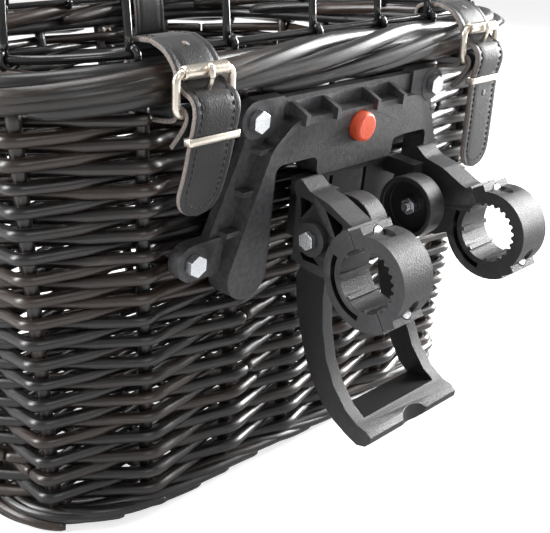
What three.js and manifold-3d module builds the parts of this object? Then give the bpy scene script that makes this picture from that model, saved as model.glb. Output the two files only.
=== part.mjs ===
// Wicker dog basket for a bicycle, with a wire cage lid, four buckled straps and a handlebar bracket.
// Millimetres, +Z up. The origin is the centre of the underside; the bracket side faces -Y.
import * as THREE from 'three';
import { mergeVertices } from 'three/addons/utils/BufferGeometryUtils.js';
import Module from 'manifold-3d';

const wasm = await Module();
wasm.setup();

// Clearances
const gap = 0.3; // between touching or cut neighbours
const runGap = 0.5; // round turning and sliding pieces
const overrun = 2; // how far a cutting tool passes the faces that it cuts

// Wicker basket
const planPower = 5.5; // roundness of the rounded rectangular plan
const planSteps = 48;
const basketHeight = 264;
const footHalfX = 189;
const footHalfY = 128;
const topHalfX = 215;
const topHalfY = 167.5;
const wallThickness = 10;
const weaveRows = 36; // rows of rods up the wall
const weaveDepth = 6; // how far a rod lies back where it passes inside a stake
const footHeight = 14;
const footBulge = 4.5;
const baseThickness = 10;
const rimHeight = 24;
const rimOuterBulge = 7;
const rimInnerBulge = 11;
const rimRound = 5.5;
const strapSlotWidth = 33;
const strapSlotHeight = 7.5;
const handHoldLength = 104;
const handHoldHeight = 27;
const handHoldOffsetY = -42; // centre of the hand hold, towards the bracket side
const handHoldStakeWidth = 5.5;
const handHoldStakePitch = handHoldLength / 3; // two stakes cross each hand hold

// Wire cage lid
const wireDiameter = 4.5;
const wireSides = 6;
const cageHeight = 162;
const cageRingInset = 15.5; // from the wall's top edge in to the ring wire
const domePower = 2.7;
const arcSteps = 16;
const crossRibShares = [-0.712, -0.403, -0.065, 0.232, 0.492, 0.79]; // of the ring's half length
const longRibShares = [-0.76, -0.27, 0.27, 0.76]; // of the ring's half width

// Straps and buckles
const strapLeftX = 124; // from the basket's middle to the left straps
const strapRightX = 116; // and to the right straps
const strapWidth = 30;
const strapThickness = 2.5;
const barDiameter = 4;
const rollerDiameter = 7;
const rollerLength = 29;
const buckleInnerWidth = 32.5;
const rollerBelowTop = 4; // below the basket's top edge, as the next four
const bottomBarBelowTop = 24;
const keeperBelowTop = 36;
const leftTipBelowTop = 77;
const rightTipBelowTop = 94;
const keeperWire = 3;
const leftTipLean = 14; // how far the strap's tip leans in under the keeper
const rightTipLean = 6;
const chapeDrop = 7.5; // how far the folded end reaches below the bottom bar
const prongDiameter = 3;
const prongSlot = 7;
const prongHoleHeight = 12;

// Adapter plate, in the wall's own plane: x across, s up the wall, h out of it
const plateBelowTop = 71; // from the basket's top edge down to s = 0
const upperBoltX = 79;
const upperBoltS = 36.5;
const lowerBoltX = 118;
const lowerBoltS = -35.3;
const earRadius = 10.5;
const earThickness = 8;
const earSlotLength = 9;
const plateTopS = 45.3;
const housingTopS = 35;
const housingHeight = 16;
const housingCorner = 17;
const shoulderHalfX = 72;
const shoulderS = 21.6;
const legOuterX = 99;
const legInnerX = 68.5;
const legEndS = -62.5;
const notchOuterX = 68.5;
const notchInnerX = 34.5;
const notchTopS = 11.5;
const housingLowS = 0;
const flangeEdgeX = 85;
const flangeEdgeS = 22;
const flangeLowX = 107;
const flangeLowS = -28;
const ribWidth = 3;
const ribRise = 3;
const buttonRadius = 8.7;
const buttonS = 24;
const buttonStand = 6;
const buttonLip = 1.5;
const buttonLipHeight = 2;
const buttonTravel = 4;
const buttonFloor = 4;

// Plate bolts, washers and nuts
const boltShank = 6;
const boltHeadWidth = 11;
const boltHeadHeight = 4.5;
const washerDiameter = 18;
const washerThickness = 2;
const nutHeight = 5;
const boltEnd = 2.5;

// Bracket
const hubBelowTop = 99.6; // from the basket's top edge down to the hub's axis
const hubStandOff = 42; // from the wall out to the hub's axis
const clampAhead = 41.7; // from the hub's axis out to the handlebar's
const clampDrop = 12.8; // from the hub's axis down to the handlebar's
const barBore = 31.8;
const capThickness = 8.3;
const clampWidth = 25;
const clampInnerX = 44.35;
const clampLean = 25 * Math.PI / 180; // lean of the split between clamp and cap
const clampBackRadius = 28.4;
const capTeeth = 12; // round the cap's half of the bore
const toothDepth = 1.6;
const ridgeWidth = 2.2; // of the ridges along the arm's half of the bore
const sideSlotRadius = 22.4; // of the curved slot in each side of the arm's half clamp
const sideSlotWidth = 3;
const sideSlotDepth = 8;
const screwDiameter = 4;
const screwHeadDiameter = 7.5;
const screwHeadHeight = 4;
const screwRadius = 21.4; // from the handlebar axis to each clamp screw
const screwReach = 15;
const flangeReach = 27;
const flangeDepth = 8;
const armWidth = 16.6;
const armReach = 58.4; // from the handlebar axis back to the arm's rear corner
const armRise = 44.5; // from the handlebar axis up to the hook's tip
const webDepth = 8;
const webWall = 3.2;
const hubBossRadius = 9.5;
const hubBossReach = 65;
const hubDiscRadius = 18.8;
const hubDiscInnerX = 20;
const hubCupWall = 3;
const hubCupFloor = 7;
const hubBolt = 5;
const hubHeadWidth = 9;
const hubHeadHeight = 3.5;
const hubNutHeight = 4;
const panelHalfX = 43.9;
const panelBack = 6.5;
const panelFront = 14;
const panelLowS = -36;
const panelTopS = -1;
const panelSlotWidth = 3;
const tongueHalfX = 30;
const tongueS = 9;
const cheekInnerX = 34.8;
const cheekOut = 34;
const cheekLowS = -11;

// Hoop stay
const hoopLegOuterX = 43;
const hoopLegInnerX = 34.3;
const hoopEyeRadius = 11;
const hoopDrop = 125.7; // from the hub axis down to the hoop's lower edge
const hoopSpan = 40; // unit of the hoop's side outline, across
const hoopWindowDrop = 111.8; // from the hub axis down to the window's lower edge
const hoopSaddleRadius = 16;
const hoopSaddleDepth = 5;

// Shared solids and tools
const clearHole = (diameter) => diameter + 2 * gap;
const mix = (a, b, share) => a + (b - a) * share;

function solid(geometry) {
  const bare = geometry.index ? geometry.clone() : mergeVertices(geometry.clone());
  bare.deleteAttribute('normal');
  bare.deleteAttribute('uv');
  const merged = mergeVertices(bare, 1e-4);
  return new wasm.Manifold(new wasm.Mesh({
    numProp: 3,
    vertProperties: new Float32Array(merged.attributes.position.array),
    triVerts: new Uint32Array(merged.index.array),
  }));
}

function surface(manifold) {
  const mesh = manifold.getMesh();
  const geometry = new THREE.BufferGeometry();
  geometry.setAttribute('position', new THREE.BufferAttribute(new Float32Array(mesh.vertProperties), 3));
  geometry.setIndex(new THREE.BufferAttribute(new Uint32Array(mesh.triVerts), 1));
  return geometry;
}

const joined = (geometries) => geometries.map(solid).reduce((sum, piece) => sum.add(piece));
const cutBy = (body, tools) => tools.map(solid).reduce((rest, tool) => rest.subtract(tool), body);

function mirroredX(geometry) {
  const copy = geometry.clone().scale(-1, 1, 1);
  const index = copy.index.array;
  for (let i = 0; i < index.length; i += 3) {
    [index[i], index[i + 1]] = [index[i + 1], index[i]];
  }
  return copy;
}

function box(x0, x1, y0, y1, z0, z1) {
  const block = new THREE.BoxGeometry(x1 - x0, y1 - y0, z1 - z0);
  return block.translate((x0 + x1) / 2, (y0 + y1) / 2, (z0 + z1) / 2);
}

// A round or hexagonal bar along an axis, from one place on the axis to another
function bar(axis, radius, from, to, sides = 20, turn = 0) {
  const rod = new THREE.CylinderGeometry(radius, radius, Math.abs(to - from), sides);
  rod.rotateY(turn).translate(0, (from + to) / 2, 0);
  if (axis === 'x') rod.rotateZ(-Math.PI / 2);
  if (axis === 'z') rod.rotateX(Math.PI / 2);
  return rod;
}

const hexRadius = (acrossFlats) => acrossFlats / Math.sqrt(3);

// A closed outline in (x, y) made from [x, y] pairs, with optional round corners
function outline(points, radius = 0) {
  const shape = new THREE.Shape();
  const at = points.map(([x, y]) => new THREE.Vector2(x, y));
  at.forEach((corner, i) => {
    const before = at[(i + at.length - 1) % at.length];
    const after = at[(i + 1) % at.length];
    const inLength = before.distanceTo(corner);
    const outLength = after.distanceTo(corner);
    const reach = Math.min(radius, inLength * 0.45, outLength * 0.45);
    const start = corner.clone().lerp(before, reach / inLength);
    const end = corner.clone().lerp(after, reach / outLength);
    if (i === 0) shape.moveTo(start.x, start.y);
    else shape.lineTo(start.x, start.y);
    if (reach > 0) shape.quadraticCurveTo(corner.x, corner.y, end.x, end.y);
  });
  return shape;
}

const extruded = (shape, depth, curveSegments = 4) => new THREE.ExtrudeGeometry(shape, {
  depth, steps: 1, bevelEnabled: false, curveSegments,
});

// Shape in (y, z), extruded along X from one place to another
const alongX = new THREE.Matrix4().makeBasis(
  new THREE.Vector3(0, 1, 0), new THREE.Vector3(0, 0, 1), new THREE.Vector3(1, 0, 0));

function slabX(shape, x0, x1, curveSegments = 4) {
  return extruded(shape, x1 - x0, curveSegments).applyMatrix4(alongX).translate(x0, 0, 0);
}

// Shape in (x, s) on the wall's plane, extruded out of it from one height to another
function slabH(shape, h0, h1, curveSegments = 4) {
  return extruded(shape, h1 - h0, curveSegments).translate(0, 0, h0);
}

// Tube along a curve
function tube(curve, diameter, steps, sides) {
  const section = new THREE.Shape();
  for (let i = 0; i < sides; i += 1) {
    const angle = 2 * Math.PI * (i + 0.5) / sides;
    const x = diameter / 2 * Math.cos(angle);
    const y = diameter / 2 * Math.sin(angle);
    if (i === 0) section.moveTo(x, y);
    else section.lineTo(x, y);
  }
  return new THREE.ExtrudeGeometry(section, { steps, bevelEnabled: false, extrudePath: curve });
}

// A polyline as a curve, for bent wire
function bentWire(points, diameter, sides, corner) {
  const path = new THREE.CurvePath();
  const at = points.map(([x, y, z]) => new THREE.Vector3(x, y, z));
  let last = at[0];
  for (let i = 1; i < at.length - 1; i += 1) {
    const start = at[i].clone().add(at[i - 1].clone().sub(at[i]).setLength(corner));
    const end = at[i].clone().add(at[i + 1].clone().sub(at[i]).setLength(corner));
    path.add(new THREE.LineCurve3(last, start));
    path.add(new THREE.QuadraticBezierCurve3(start, at[i], end));
    last = end;
  }
  path.add(new THREE.LineCurve3(last, at[at.length - 1]));
  return tube(path, diameter, 3 * at.length, sides);
}

// Rounded rectangular plan
function planPoint(halfX, halfY, turn) {
  const c = Math.cos(turn);
  const s = Math.sin(turn);
  const size = (Math.abs(c) ** planPower + Math.abs(s) ** planPower) ** (1 / planPower);
  return [halfX * c / size, halfY * s / size];
}

const planHalfY = (halfX, halfY, x) => halfY * (1 - Math.abs(x / halfX) ** planPower) ** (1 / planPower);
const planHalfX = (halfX, halfY, y) => halfX * (1 - Math.abs(y / halfY) ** planPower) ** (1 / planPower);

// A closed section of [halfX, halfY, z] corners, swept round the plan; each step gives its own corners
function planSweep(cornersAt) {
  const places = [];
  const faces = [];
  const count = cornersAt(0).length;
  for (let i = 0; i < planSteps; i += 1) {
    cornersAt(i).forEach(([halfX, halfY, z]) => {
      const [x, y] = planPoint(halfX, halfY, 2 * Math.PI * i / planSteps);
      places.push(x, y, z);
    });
    const next = (i + 1) % planSteps;
    for (let k = 0; k < count; k += 1) {
      const a = i * count + k;
      const b = i * count + (k + 1) % count;
      const c = next * count + (k + 1) % count;
      const d = next * count + k;
      faces.push(a, d, b, b, d, c);
    }
  }
  const geometry = new THREE.BufferGeometry();
  geometry.setAttribute('position', new THREE.Float32BufferAttribute(places, 3));
  geometry.setIndex(faces);
  return geometry;
}

const planRing = (corners) => planSweep(() => corners);

function planShape(halfX, halfY) {
  const points = [];
  for (let i = 0; i < planSteps; i += 1) {
    points.push(new THREE.Vector2(...planPoint(halfX, halfY, 2 * Math.PI * i / planSteps)));
  }
  return new THREE.Shape(points);
}

// Finishes
const finish = (color, roughness, metalness) => new THREE.MeshStandardMaterial({
  color, roughness, metalness,
});
const willow = finish(0x241e1b, 0.45, 0);
const blackWire = finish(0x17171a, 0.3, 0.4);
const strapLeather = finish(0x1d1d1f, 0.6, 0);
const nickel = finish(0xb7a88c, 0.3, 1);
const plastic = finish(0x2d2d30, 0.55, 0);
const buttonPlastic = finish(0xeb5032, 0.45, 0);
const zinc = finish(0xc9ced2, 0.28, 1);

const basket = new THREE.Group();

function place(name, geometry, material, parent = basket) {
  const mesh = new THREE.Mesh(geometry, material);
  mesh.name = name;
  parent.add(mesh);
  return mesh;
}

const sides = [['left', -1], ['right', 1]];

// Wall sizes at a height
const wallTilt = Math.atan((topHalfY - footHalfY) / basketHeight);
const wallHalfX = (z) => mix(footHalfX, topHalfX, z / basketHeight);
const wallHalfY = (z) => mix(footHalfY, topHalfY, z / basketHeight);
const rimLowZ = basketHeight - rimHeight;
const rollerZ = basketHeight - rollerBelowTop;
const bottomBarZ = basketHeight - bottomBarBelowTop;
const keeperZ = basketHeight - keeperBelowTop;
const leftTipZ = basketHeight - leftTipBelowTop;
const rightTipZ = basketHeight - rightTipBelowTop;
const plateOriginZ = basketHeight - plateBelowTop;
const hubUp = basketHeight - hubBelowTop;
const hubOut = wallHalfY(hubUp) + hubStandOff;
const clampUp = hubUp - clampDrop;
const clampOut = hubOut + clampAhead;
const hoopWindowLow = hubUp - hoopWindowDrop;
const wallTopZ = rimLowZ - gap;
const wallBaseZ = footHeight + gap;

// The wall's own plane at the bracket side: x across, y up the wall, z out of it
const wallPlane = new THREE.Group();
wallPlane.position.set(0, -wallHalfY(plateOriginZ), plateOriginZ);
wallPlane.rotation.x = Math.PI / 2 + wallTilt;
wallPlane.updateMatrixWorld(true);
basket.add(wallPlane);
const wallDepth = wallThickness * Math.cos(wallTilt);

const plateBolts = [];
sides.forEach(([side, sign]) => {
  plateBolts.push([`upper_${side}`, sign * upperBoltX, upperBoltS]);
  plateBolts.push([`lower_${side}`, sign * lowerBoltX, lowerBoltS]);
});

// Route of a strap as [out, z] pairs, where out is the distance from the basket's middle
const ringZ = basketHeight + gap + wireDiameter / 2;
const ringHalfX = topHalfX - cageRingInset;
const ringHalfY = topHalfY - cageRingInset;
const rimInnerY = topHalfY - wallThickness - rimInnerBulge;
const rimOuterY = topHalfY + rimOuterBulge;
const strapCentre = gap + strapThickness / 2;
const strapLift = 2.2; // room over the ring wire for it to turn as the lid swings
const strapPlaces = [['left', -strapLeftX], ['right', strapRightX]];
const nearEdgeX = Math.min(strapLeftX, strapRightX) - strapWidth / 2;
const farEdgeX = Math.max(strapLeftX, strapRightX) + strapWidth / 2;
const rimOutAtBelt = planHalfY(topHalfX + rimOuterBulge, rimOuterY, nearEdgeX);
const rimInAtBelt = planHalfY(topHalfX - wallThickness - rimInnerBulge, rimInnerY, farEdgeX);
const rollerOut = rimOutAtBelt + 2 * gap + strapThickness + rollerDiameter / 2;
const barOut = rimOutAtBelt + 2 * gap + strapThickness + barDiameter / 2;
const slotZ = wallTopZ - strapSlotHeight / 2;
const chapeOut = barDiameter / 2 + strapCentre; // from the bar's axis to the folded end round it
const beltFrontOut = barOut + chapeOut + strapThickness + gap;
const keeperOut = beltFrontOut - strapThickness / 2;
const prongHoleZ = mix(rollerZ, bottomBarZ, 0.58);

function strapRoute(tipZ, tipLean) {
  const inside = rimInAtBelt - strapCentre - gap;
  const ringTop = ringZ + wireDiameter / 2 + strapLift + strapThickness / 2;
  const behind = rollerOut - rollerDiameter / 2 - strapCentre;
  const slant = chapeOut * Math.SQRT1_2;
  return [
    [barOut + chapeOut - gap, bottomBarZ - chapeDrop],
    [barOut + chapeOut, bottomBarZ],
    [barOut + slant, bottomBarZ + slant],
    [barOut, bottomBarZ + chapeOut],
    [barOut - slant, bottomBarZ + slant],
    [barOut - chapeOut, bottomBarZ],
    [barOut - chapeOut - gap, slotZ + strapThickness],
    [barOut - chapeOut - strapThickness, slotZ],
    [inside + strapThickness, slotZ],
    [inside, slotZ + strapThickness],
    [inside, ringZ],
    [inside + strapThickness, ringTop],
    [mix(inside, rimOutAtBelt, 0.55), ringTop],
    [mix(inside, rimOutAtBelt, 0.9), basketHeight + 2 * strapCentre],
    [behind, rollerZ],
    [behind, rollerZ - rollerDiameter / 2],
    [beltFrontOut, bottomBarZ],
    [keeperOut, keeperZ],
    [keeperOut - tipLean / 2, mix(keeperZ, tipZ, 0.5)],
    [keeperOut - tipLean, tipZ],
  ];
}

// A band of even thickness along a route
function band(route, thickness) {
  const at = route.map(([out, z]) => new THREE.Vector2(out, z));
  const near = [];
  const far = [];
  at.forEach((point, i) => {
    const before = at[Math.max(i - 1, 0)];
    const after = at[Math.min(i + 1, at.length - 1)];
    const into = (i === 0 ? after.clone().sub(point) : point.clone().sub(before)).normalize();
    const onward = (i === at.length - 1 ? point.clone().sub(before) : after.clone().sub(point)).normalize();
    const along = into.clone().add(onward).normalize();
    const reach = thickness / 2 / Math.max(into.dot(along), 0.6);
    const across = new THREE.Vector2(-along.y, along.x).multiplyScalar(reach);
    near.push(point.clone().add(across));
    far.push(point.clone().sub(across));
  });
  return new THREE.Shape([...near, ...far.reverse()]);
}

// Rods pass outside one stake and inside the next, and the rows take turns; stakes stand at odd steps
function weaveInset(step, row) {
  const side = row % 2 === 0 ? 1 : -1;
  return weaveDepth * (1 - side * Math.round(Math.sin(Math.PI * step / 2))) / 2;
}

// Wicker wall with its strap slots, bolt holes and two hand holds
function wickerWall() {
  const at = (z, inset) => [wallHalfX(z) - inset, wallHalfY(z) - inset, z];
  const rows = [...Array(weaveRows + 1).keys()];
  const wall = solid(planSweep((step) => [
    ...rows.map((row) => at(mix(wallBaseZ, wallTopZ, row / weaveRows), weaveInset(step, row))),
    at(wallTopZ, wallThickness), at(wallBaseZ, wallThickness),
  ]));
  const tools = [];
  [-1, 1].forEach((way) => {
    strapPlaces.forEach(([, middle]) => {
      tools.push(box(
        middle - strapSlotWidth / 2, middle + strapSlotWidth / 2,
        Math.min(way * rimOuterY, way * (footHalfY - wallThickness)),
        Math.max(way * rimOuterY, way * (footHalfY - wallThickness)),
        wallTopZ - strapSlotHeight, wallTopZ + overrun));
    });
  });
  plateBolts.forEach(([, x, s]) => {
    const hole = bar('z', clearHole(boltShank) / 2, -wallThickness - 3 * overrun, 3 * overrun, 12);
    tools.push(hole.translate(x, s, 0).applyMatrix4(wallPlane.matrixWorld));
  });
  sides.forEach(([, sign]) => {
    const opening = [sign * (footHalfX - wallThickness), sign * (topHalfX + overrun)];
    const low = wallTopZ - handHoldHeight;
    const starts = [-1, 0, 1].map((i) => handHoldOffsetY + i * handHoldStakePitch);
    starts.forEach((middle) => {
      const half = (handHoldStakePitch - handHoldStakeWidth) / 2;
      tools.push(box(Math.min(...opening), Math.max(...opening), middle - half, middle + half,
        low, wallTopZ + overrun));
    });
  });
  return surface(cutBy(wall, tools));
}

// Eight-cornered section between two half sizes and two heights
function softSection(outer, inner, z0, z1, round) {
  const ring = (inset, z) => [mix(outer[0], inner[0], inset), mix(outer[1], inner[1], inset), z];
  const wide = round / (outer[1] - inner[1]);
  return [
    ring(wide, z0), ring(0, z0 + round), ring(0, z1 - round), ring(wide, z1),
    ring(1 - wide, z1), ring(1, z1 - round), ring(1, z0 + round), ring(1 - wide, z0),
  ];
}

place('wicker_wall', wickerWall(), willow);
place('rim_border', planRing(softSection(
  [topHalfX + rimOuterBulge, rimOuterY],
  [topHalfX - wallThickness - rimInnerBulge, rimInnerY],
  rimLowZ, basketHeight, rimRound)), willow);
place('foot_border', planRing(softSection(
  [footHalfX + footBulge, footHalfY + footBulge],
  [footHalfX - wallThickness, footHalfY - wallThickness],
  0, footHeight, footHeight / 3)), willow);
place('basket_base', extruded(planShape(
  footHalfX - wallThickness - gap, footHalfY - wallThickness - gap), baseThickness), willow);

// Wire cage lid: a ring on the border and two sets of crossing arcs, welded
const domeHeight = (x, y) => {
  const out = (Math.abs(x / ringHalfX) ** planPower + Math.abs(y / ringHalfY) ** planPower);
  return ringZ + cageHeight * Math.max(1 - out ** (domePower / planPower), 0) ** (1 / domePower);
};

// Even steps round an arc that stands on the ring at both ends
function arcPlaces(half, place3) {
  const places = [];
  for (let i = 0; i <= arcSteps; i += 1) {
    const turn = Math.PI * i / arcSteps;
    const swing = Math.sign(Math.cos(turn)) * Math.abs(Math.cos(turn)) ** (2 / planPower);
    places.push(place3(half * swing));
  }
  return places;
}

function cageLid() {
  const ring = [];
  for (let i = 0; i < planSteps; i += 1) {
    const [x, y] = planPoint(ringHalfX, ringHalfY, 2 * Math.PI * i / planSteps);
    ring.push(new THREE.Vector3(x, y, ringZ));
  }
  const hoop = planRing([...Array(wireSides).keys()].map((i) => {
    const turn = 2 * Math.PI * (i + 0.5) / wireSides;
    const out = wireDiameter / 2 * Math.cos(turn);
    return [ringHalfX + out, ringHalfY + out, ringZ + wireDiameter / 2 * Math.sin(turn)];
  }));
  const arcs = [
    ...crossRibShares.map((share) => {
      const x = share * ringHalfX;
      return arcPlaces(planHalfY(ringHalfX, ringHalfY, x), (y) => new THREE.Vector3(x, y, domeHeight(x, y)));
    }),
    ...longRibShares.map((share) => {
      const y = share * ringHalfY;
      return arcPlaces(planHalfX(ringHalfX, ringHalfY, y), (x) => new THREE.Vector3(x, y, domeHeight(x, y)));
    }),
  ];
  const wires = arcs.map((points) => tube(
    new THREE.CatmullRomCurve3(points), wireDiameter, arcSteps, wireSides));
  return surface(joined([hoop, ...wires]));
}

place('cage_lid', cageLid(), blackWire);

// Straps and roller buckles, one set at each of four places round the rim
function strapSolid(tipZ, tipLean) {
  const strip = slabX(band(strapRoute(tipZ, tipLean), strapThickness), -strapWidth / 2, strapWidth / 2);
  const prongWay = box(-prongSlot / 2, prongSlot / 2, barOut - 2 * barDiameter,
    barOut + chapeOut + (strapThickness + gap) / 2, bottomBarZ - barDiameter, bottomBarZ + barDiameter);
  const prongHole = box(-prongSlot / 2, prongSlot / 2, barOut - barDiameter, beltFrontOut + overrun,
    prongHoleZ - prongHoleHeight / 2, prongHoleZ + prongHoleHeight / 2);
  return surface(cutBy(solid(strip), [prongWay, prongHole]));
}

// Buckle frame: a bottom bar, a roller pin and two side wires, as one welded piece
function buckleFrame() {
  const half = buckleInnerWidth / 2 + barDiameter / 2;
  const past = barDiameter * 0.4;
  const rise = new THREE.Vector2(rollerOut - barOut, rollerZ - bottomBarZ);
  const sideWires = [-1, 1].map((sign) => bar('y', barDiameter / 2, -past, rise.length() + past, 8)
    .rotateX(rise.angle()).translate(sign * half, barOut, bottomBarZ));
  const bottom = bar('x', barDiameter / 2, -half, half, 12).translate(0, barOut, bottomBarZ);
  const pin = bar('x', barDiameter / 2, -half, half, 12).translate(0, rollerOut, rollerZ);
  return surface(joined([bottom, ...sideWires, pin]));
}

function buckleRoller() {
  const inner = clearHole(barDiameter) / 2;
  const ring = new THREE.LatheGeometry([
    new THREE.Vector2(inner, -rollerLength / 2), new THREE.Vector2(rollerDiameter / 2, -rollerLength / 2),
    new THREE.Vector2(rollerDiameter / 2, rollerLength / 2), new THREE.Vector2(inner, rollerLength / 2),
    new THREE.Vector2(inner, -rollerLength / 2),
  ], 16);
  return surface(solid(ring)).rotateZ(-Math.PI / 2).translate(0, rollerOut, rollerZ);
}

// Prong: a collar that turns on the bottom bar, and a wire that passes through the strap over the roller
function buckleProng() {
  const inner = clearHole(barDiameter) / 2;
  const outer = inner + prongDiameter / 2;
  const collar = new THREE.LatheGeometry([
    new THREE.Vector2(inner, -prongDiameter / 2), new THREE.Vector2(outer, -prongDiameter / 2),
    new THREE.Vector2(outer, prongDiameter / 2), new THREE.Vector2(inner, prongDiameter / 2),
    new THREE.Vector2(inner, -prongDiameter / 2),
  ], 12).rotateZ(-Math.PI / 2).translate(0, barOut, bottomBarZ);
  const over = rollerOut + rollerDiameter / 2 + gap + prongDiameter / 2;
  const wire = bentWire([
    [0, barOut, bottomBarZ + inner + prongDiameter / 3],
    [0, barOut + prongDiameter / 3, bottomBarZ + 2 * prongDiameter],
    [0, over, rollerZ - prongDiameter],
    [0, over, rollerZ + prongDiameter],
  ], prongDiameter, 6, prongDiameter / 2);
  return surface(joined([collar, wire]));
}

// Keeper: a flat wire loop round the strap below the buckle
function strapKeeper() {
  const half = strapWidth / 2 + runGap;
  const deep = strapThickness / 2 + 2 * gap;
  const outerX = half + keeperWire;
  const outerY = deep + keeperWire;
  const low = keeperZ - keeperWire / 2;
  const block = extruded(outline([
    [-outerX, keeperOut - outerY], [outerX, keeperOut - outerY],
    [outerX, keeperOut + outerY], [-outerX, keeperOut + outerY],
  ], keeperWire), keeperWire).translate(0, 0, low);
  const way = box(-half, half, keeperOut - deep, keeperOut + deep, low - overrun, low + keeperWire + overrun);
  return surface(cutBy(solid(block), [way]));
}

[['back', Math.PI], ['front', 0]].forEach(([end, turn]) => {
  strapPlaces.forEach(([side, middle]) => {
    const belt = new THREE.Group();
    belt.position.x = middle;
    belt.rotation.z = turn;
    basket.add(belt);
    const name = (piece) => `${end}_${side}_${piece}`;
    const tip = side === 'left' ? [leftTipZ, leftTipLean] : [rightTipZ, rightTipLean];
    place(name('strap'), strapSolid(...tip), strapLeather, belt);
    place(name('buckle_frame'), buckleFrame(), nickel, belt);
    place(name('roller'), buckleRoller(), nickel, belt);
    place(name('prong'), buckleProng(), nickel, belt);
    place(name('keeper'), strapKeeper(), nickel, belt);
  });
});

// Adapter plate on the wall: a flat flange with slotted ears, a raised housing with two legs, and ribs
const plateBack = gap;
const housingTop = housingHeight;
const buttonWell = buttonRadius + buttonLip + runGap;

function mirroredOutline(half) {
  return [...half, ...half.map(([x, s]) => [-x, s]).reverse()];
}

function adapterPlate() {
  const flange = slabH(outline(mirroredOutline([
    [upperBoltX - 2 * earRadius, plateTopS], [upperBoltX, plateTopS],
    [flangeEdgeX, flangeEdgeS], [flangeLowX, flangeLowS],
    [flangeLowX, lowerBoltS - earRadius], [legOuterX - earRadius / 2, legEndS + earRadius],
    [legInnerX, legEndS + earRadius], [notchOuterX, housingLowS],
    [notchOuterX - gap, notchTopS], [notchInnerX, notchTopS], [notchInnerX, housingLowS],
  ]), earRadius / 3), plateBack, housingHeight / 2 - overrun);
  const housing = slabH(outline(mirroredOutline([
    [shoulderHalfX - housingCorner, housingTopS], [shoulderHalfX, shoulderS],
    [legOuterX, lowerBoltS - earRadius], [legOuterX, legEndS],
    [legInnerX, legEndS], [notchOuterX, housingLowS],
    [notchOuterX - gap, notchTopS], [notchInnerX, notchTopS], [notchInnerX, housingLowS],
  ]), earRadius / 2), plateBack + gap, housingTop, 5);
  const ears = plateBolts.flatMap(([, x, s]) => [
    bar('z', earRadius, plateBack, plateBack + earThickness, 16).translate(x, s, 0),
    box(Math.min(x, x - Math.sign(x) * 2 * earRadius), Math.max(x, x - Math.sign(x) * 2 * earRadius),
      s - earRadius, s + earRadius, plateBack, plateBack + earThickness - gap),
  ]);
  const ribs = topRibShares.map((share) => {
    const x = share * shoulderHalfX;
    return slabX(new THREE.Shape([
      new THREE.Vector2(plateTopS - ribWidth, plateBack + gap),
      new THREE.Vector2(plateTopS - ribWidth, housingHeight / 2),
      new THREE.Vector2(housingTopS + ribWidth, housingTop + ribRise),
      new THREE.Vector2(housingTopS - ribWidth, housingTop + ribRise),
      new THREE.Vector2(housingTopS - 2 * ribWidth, plateBack + gap),
    ]), x - ribWidth / 2, x + ribWidth / 2);
  });
  const sideRibs = sides.flatMap(([, sign]) => sideRibShares.map((share) => {
    const x = sign * mix(shoulderHalfX, legOuterX, share);
    const s = mix(shoulderS, lowerBoltS, share);
    return box(x - 2 * ribWidth, x + 2 * ribWidth, s - ribWidth / 2, s + ribWidth / 2,
      plateBack + gap, housingTop - ribWidth);
  }));
  const body = joined([flange, housing, ...ears, ...ribs, ...sideRibs]);
  const slots = plateBolts.flatMap(([, x, s]) => {
    const radius = clearHole(boltShank) / 2;
    return [
      bar('z', radius, plateBack - overrun, plateBack + earThickness + overrun, 16).translate(x, s, 0),
      box(x - Math.sign(x) * earSlotLength / 2 - radius, x - Math.sign(x) * earSlotLength / 2 + radius,
        s - radius, s + radius, plateBack - overrun, plateBack + earThickness + overrun)
        .translate(Math.sign(x) * radius, 0, 0),
    ];
  });
  const seats = plateBolts.map(([, x, s]) => bar('z', boltHeadWidth * 0.75, plateBack + earThickness,
    housingTop + ribRise + overrun, 20).translate(x, s, 0));
  const legEndRadius = (legOuterX - legInnerX) / 2;
  const legEnds = sides.map(([, sign]) => {
    const middle = sign * (legInnerX + legEndRadius);
    const round = bar('z', legEndRadius, plateBack - 2 * overrun, housingTop + 2 * overrun, 32)
      .translate(middle, legEndS + legEndRadius, 0);
    const corners = box(middle - legEndRadius - overrun, middle + legEndRadius + overrun,
      legEndS - overrun, legEndS + legEndRadius, plateBack - overrun, housingTop + overrun);
    return surface(cutBy(solid(corners), [round]));
  });
  const well = bar('z', buttonWell, buttonFloor, buttonSeatH + buttonLipHeight + runGap, 24);
  const bore = bar('z', buttonRadius + runGap, buttonFloor + gap, housingTop + overrun, 24);
  const tongueWay = box(-tongueHalfX - runGap, tongueHalfX + runGap, housingLowS - overrun, tongueS + runGap,
    panelBack - runGap, panelFront + runGap);
  return surface(cutBy(body, [
    ...slots, ...seats, ...legEnds, well.translate(0, buttonS, 0), bore.translate(0, buttonS, 0), tongueWay,
  ]));
}

const topRibShares = [-0.69, -0.33, 0.17, 0.51]; // of the shoulder's half width
const sideRibShares = [0.03, 0.41, 0.78]; // of the way from the shoulder down to the lower bolt
const buttonSeatH = buttonFloor + buttonTravel + gap;

// Release button: a round cap with a lip that holds it in its well
function releaseButton() {
  const top = housingTop + buttonStand;
  return new THREE.LatheGeometry([
    new THREE.Vector2(0, buttonSeatH),
    new THREE.Vector2(buttonRadius + buttonLip, buttonSeatH),
    new THREE.Vector2(buttonRadius + buttonLip, buttonSeatH + buttonLipHeight),
    new THREE.Vector2(buttonRadius, buttonSeatH + buttonLipHeight),
    new THREE.Vector2(buttonRadius, top - buttonLip),
    new THREE.Vector2(buttonRadius - buttonLip, top),
    new THREE.Vector2(0, top),
  ], 24).rotateX(Math.PI / 2);
}

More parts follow.
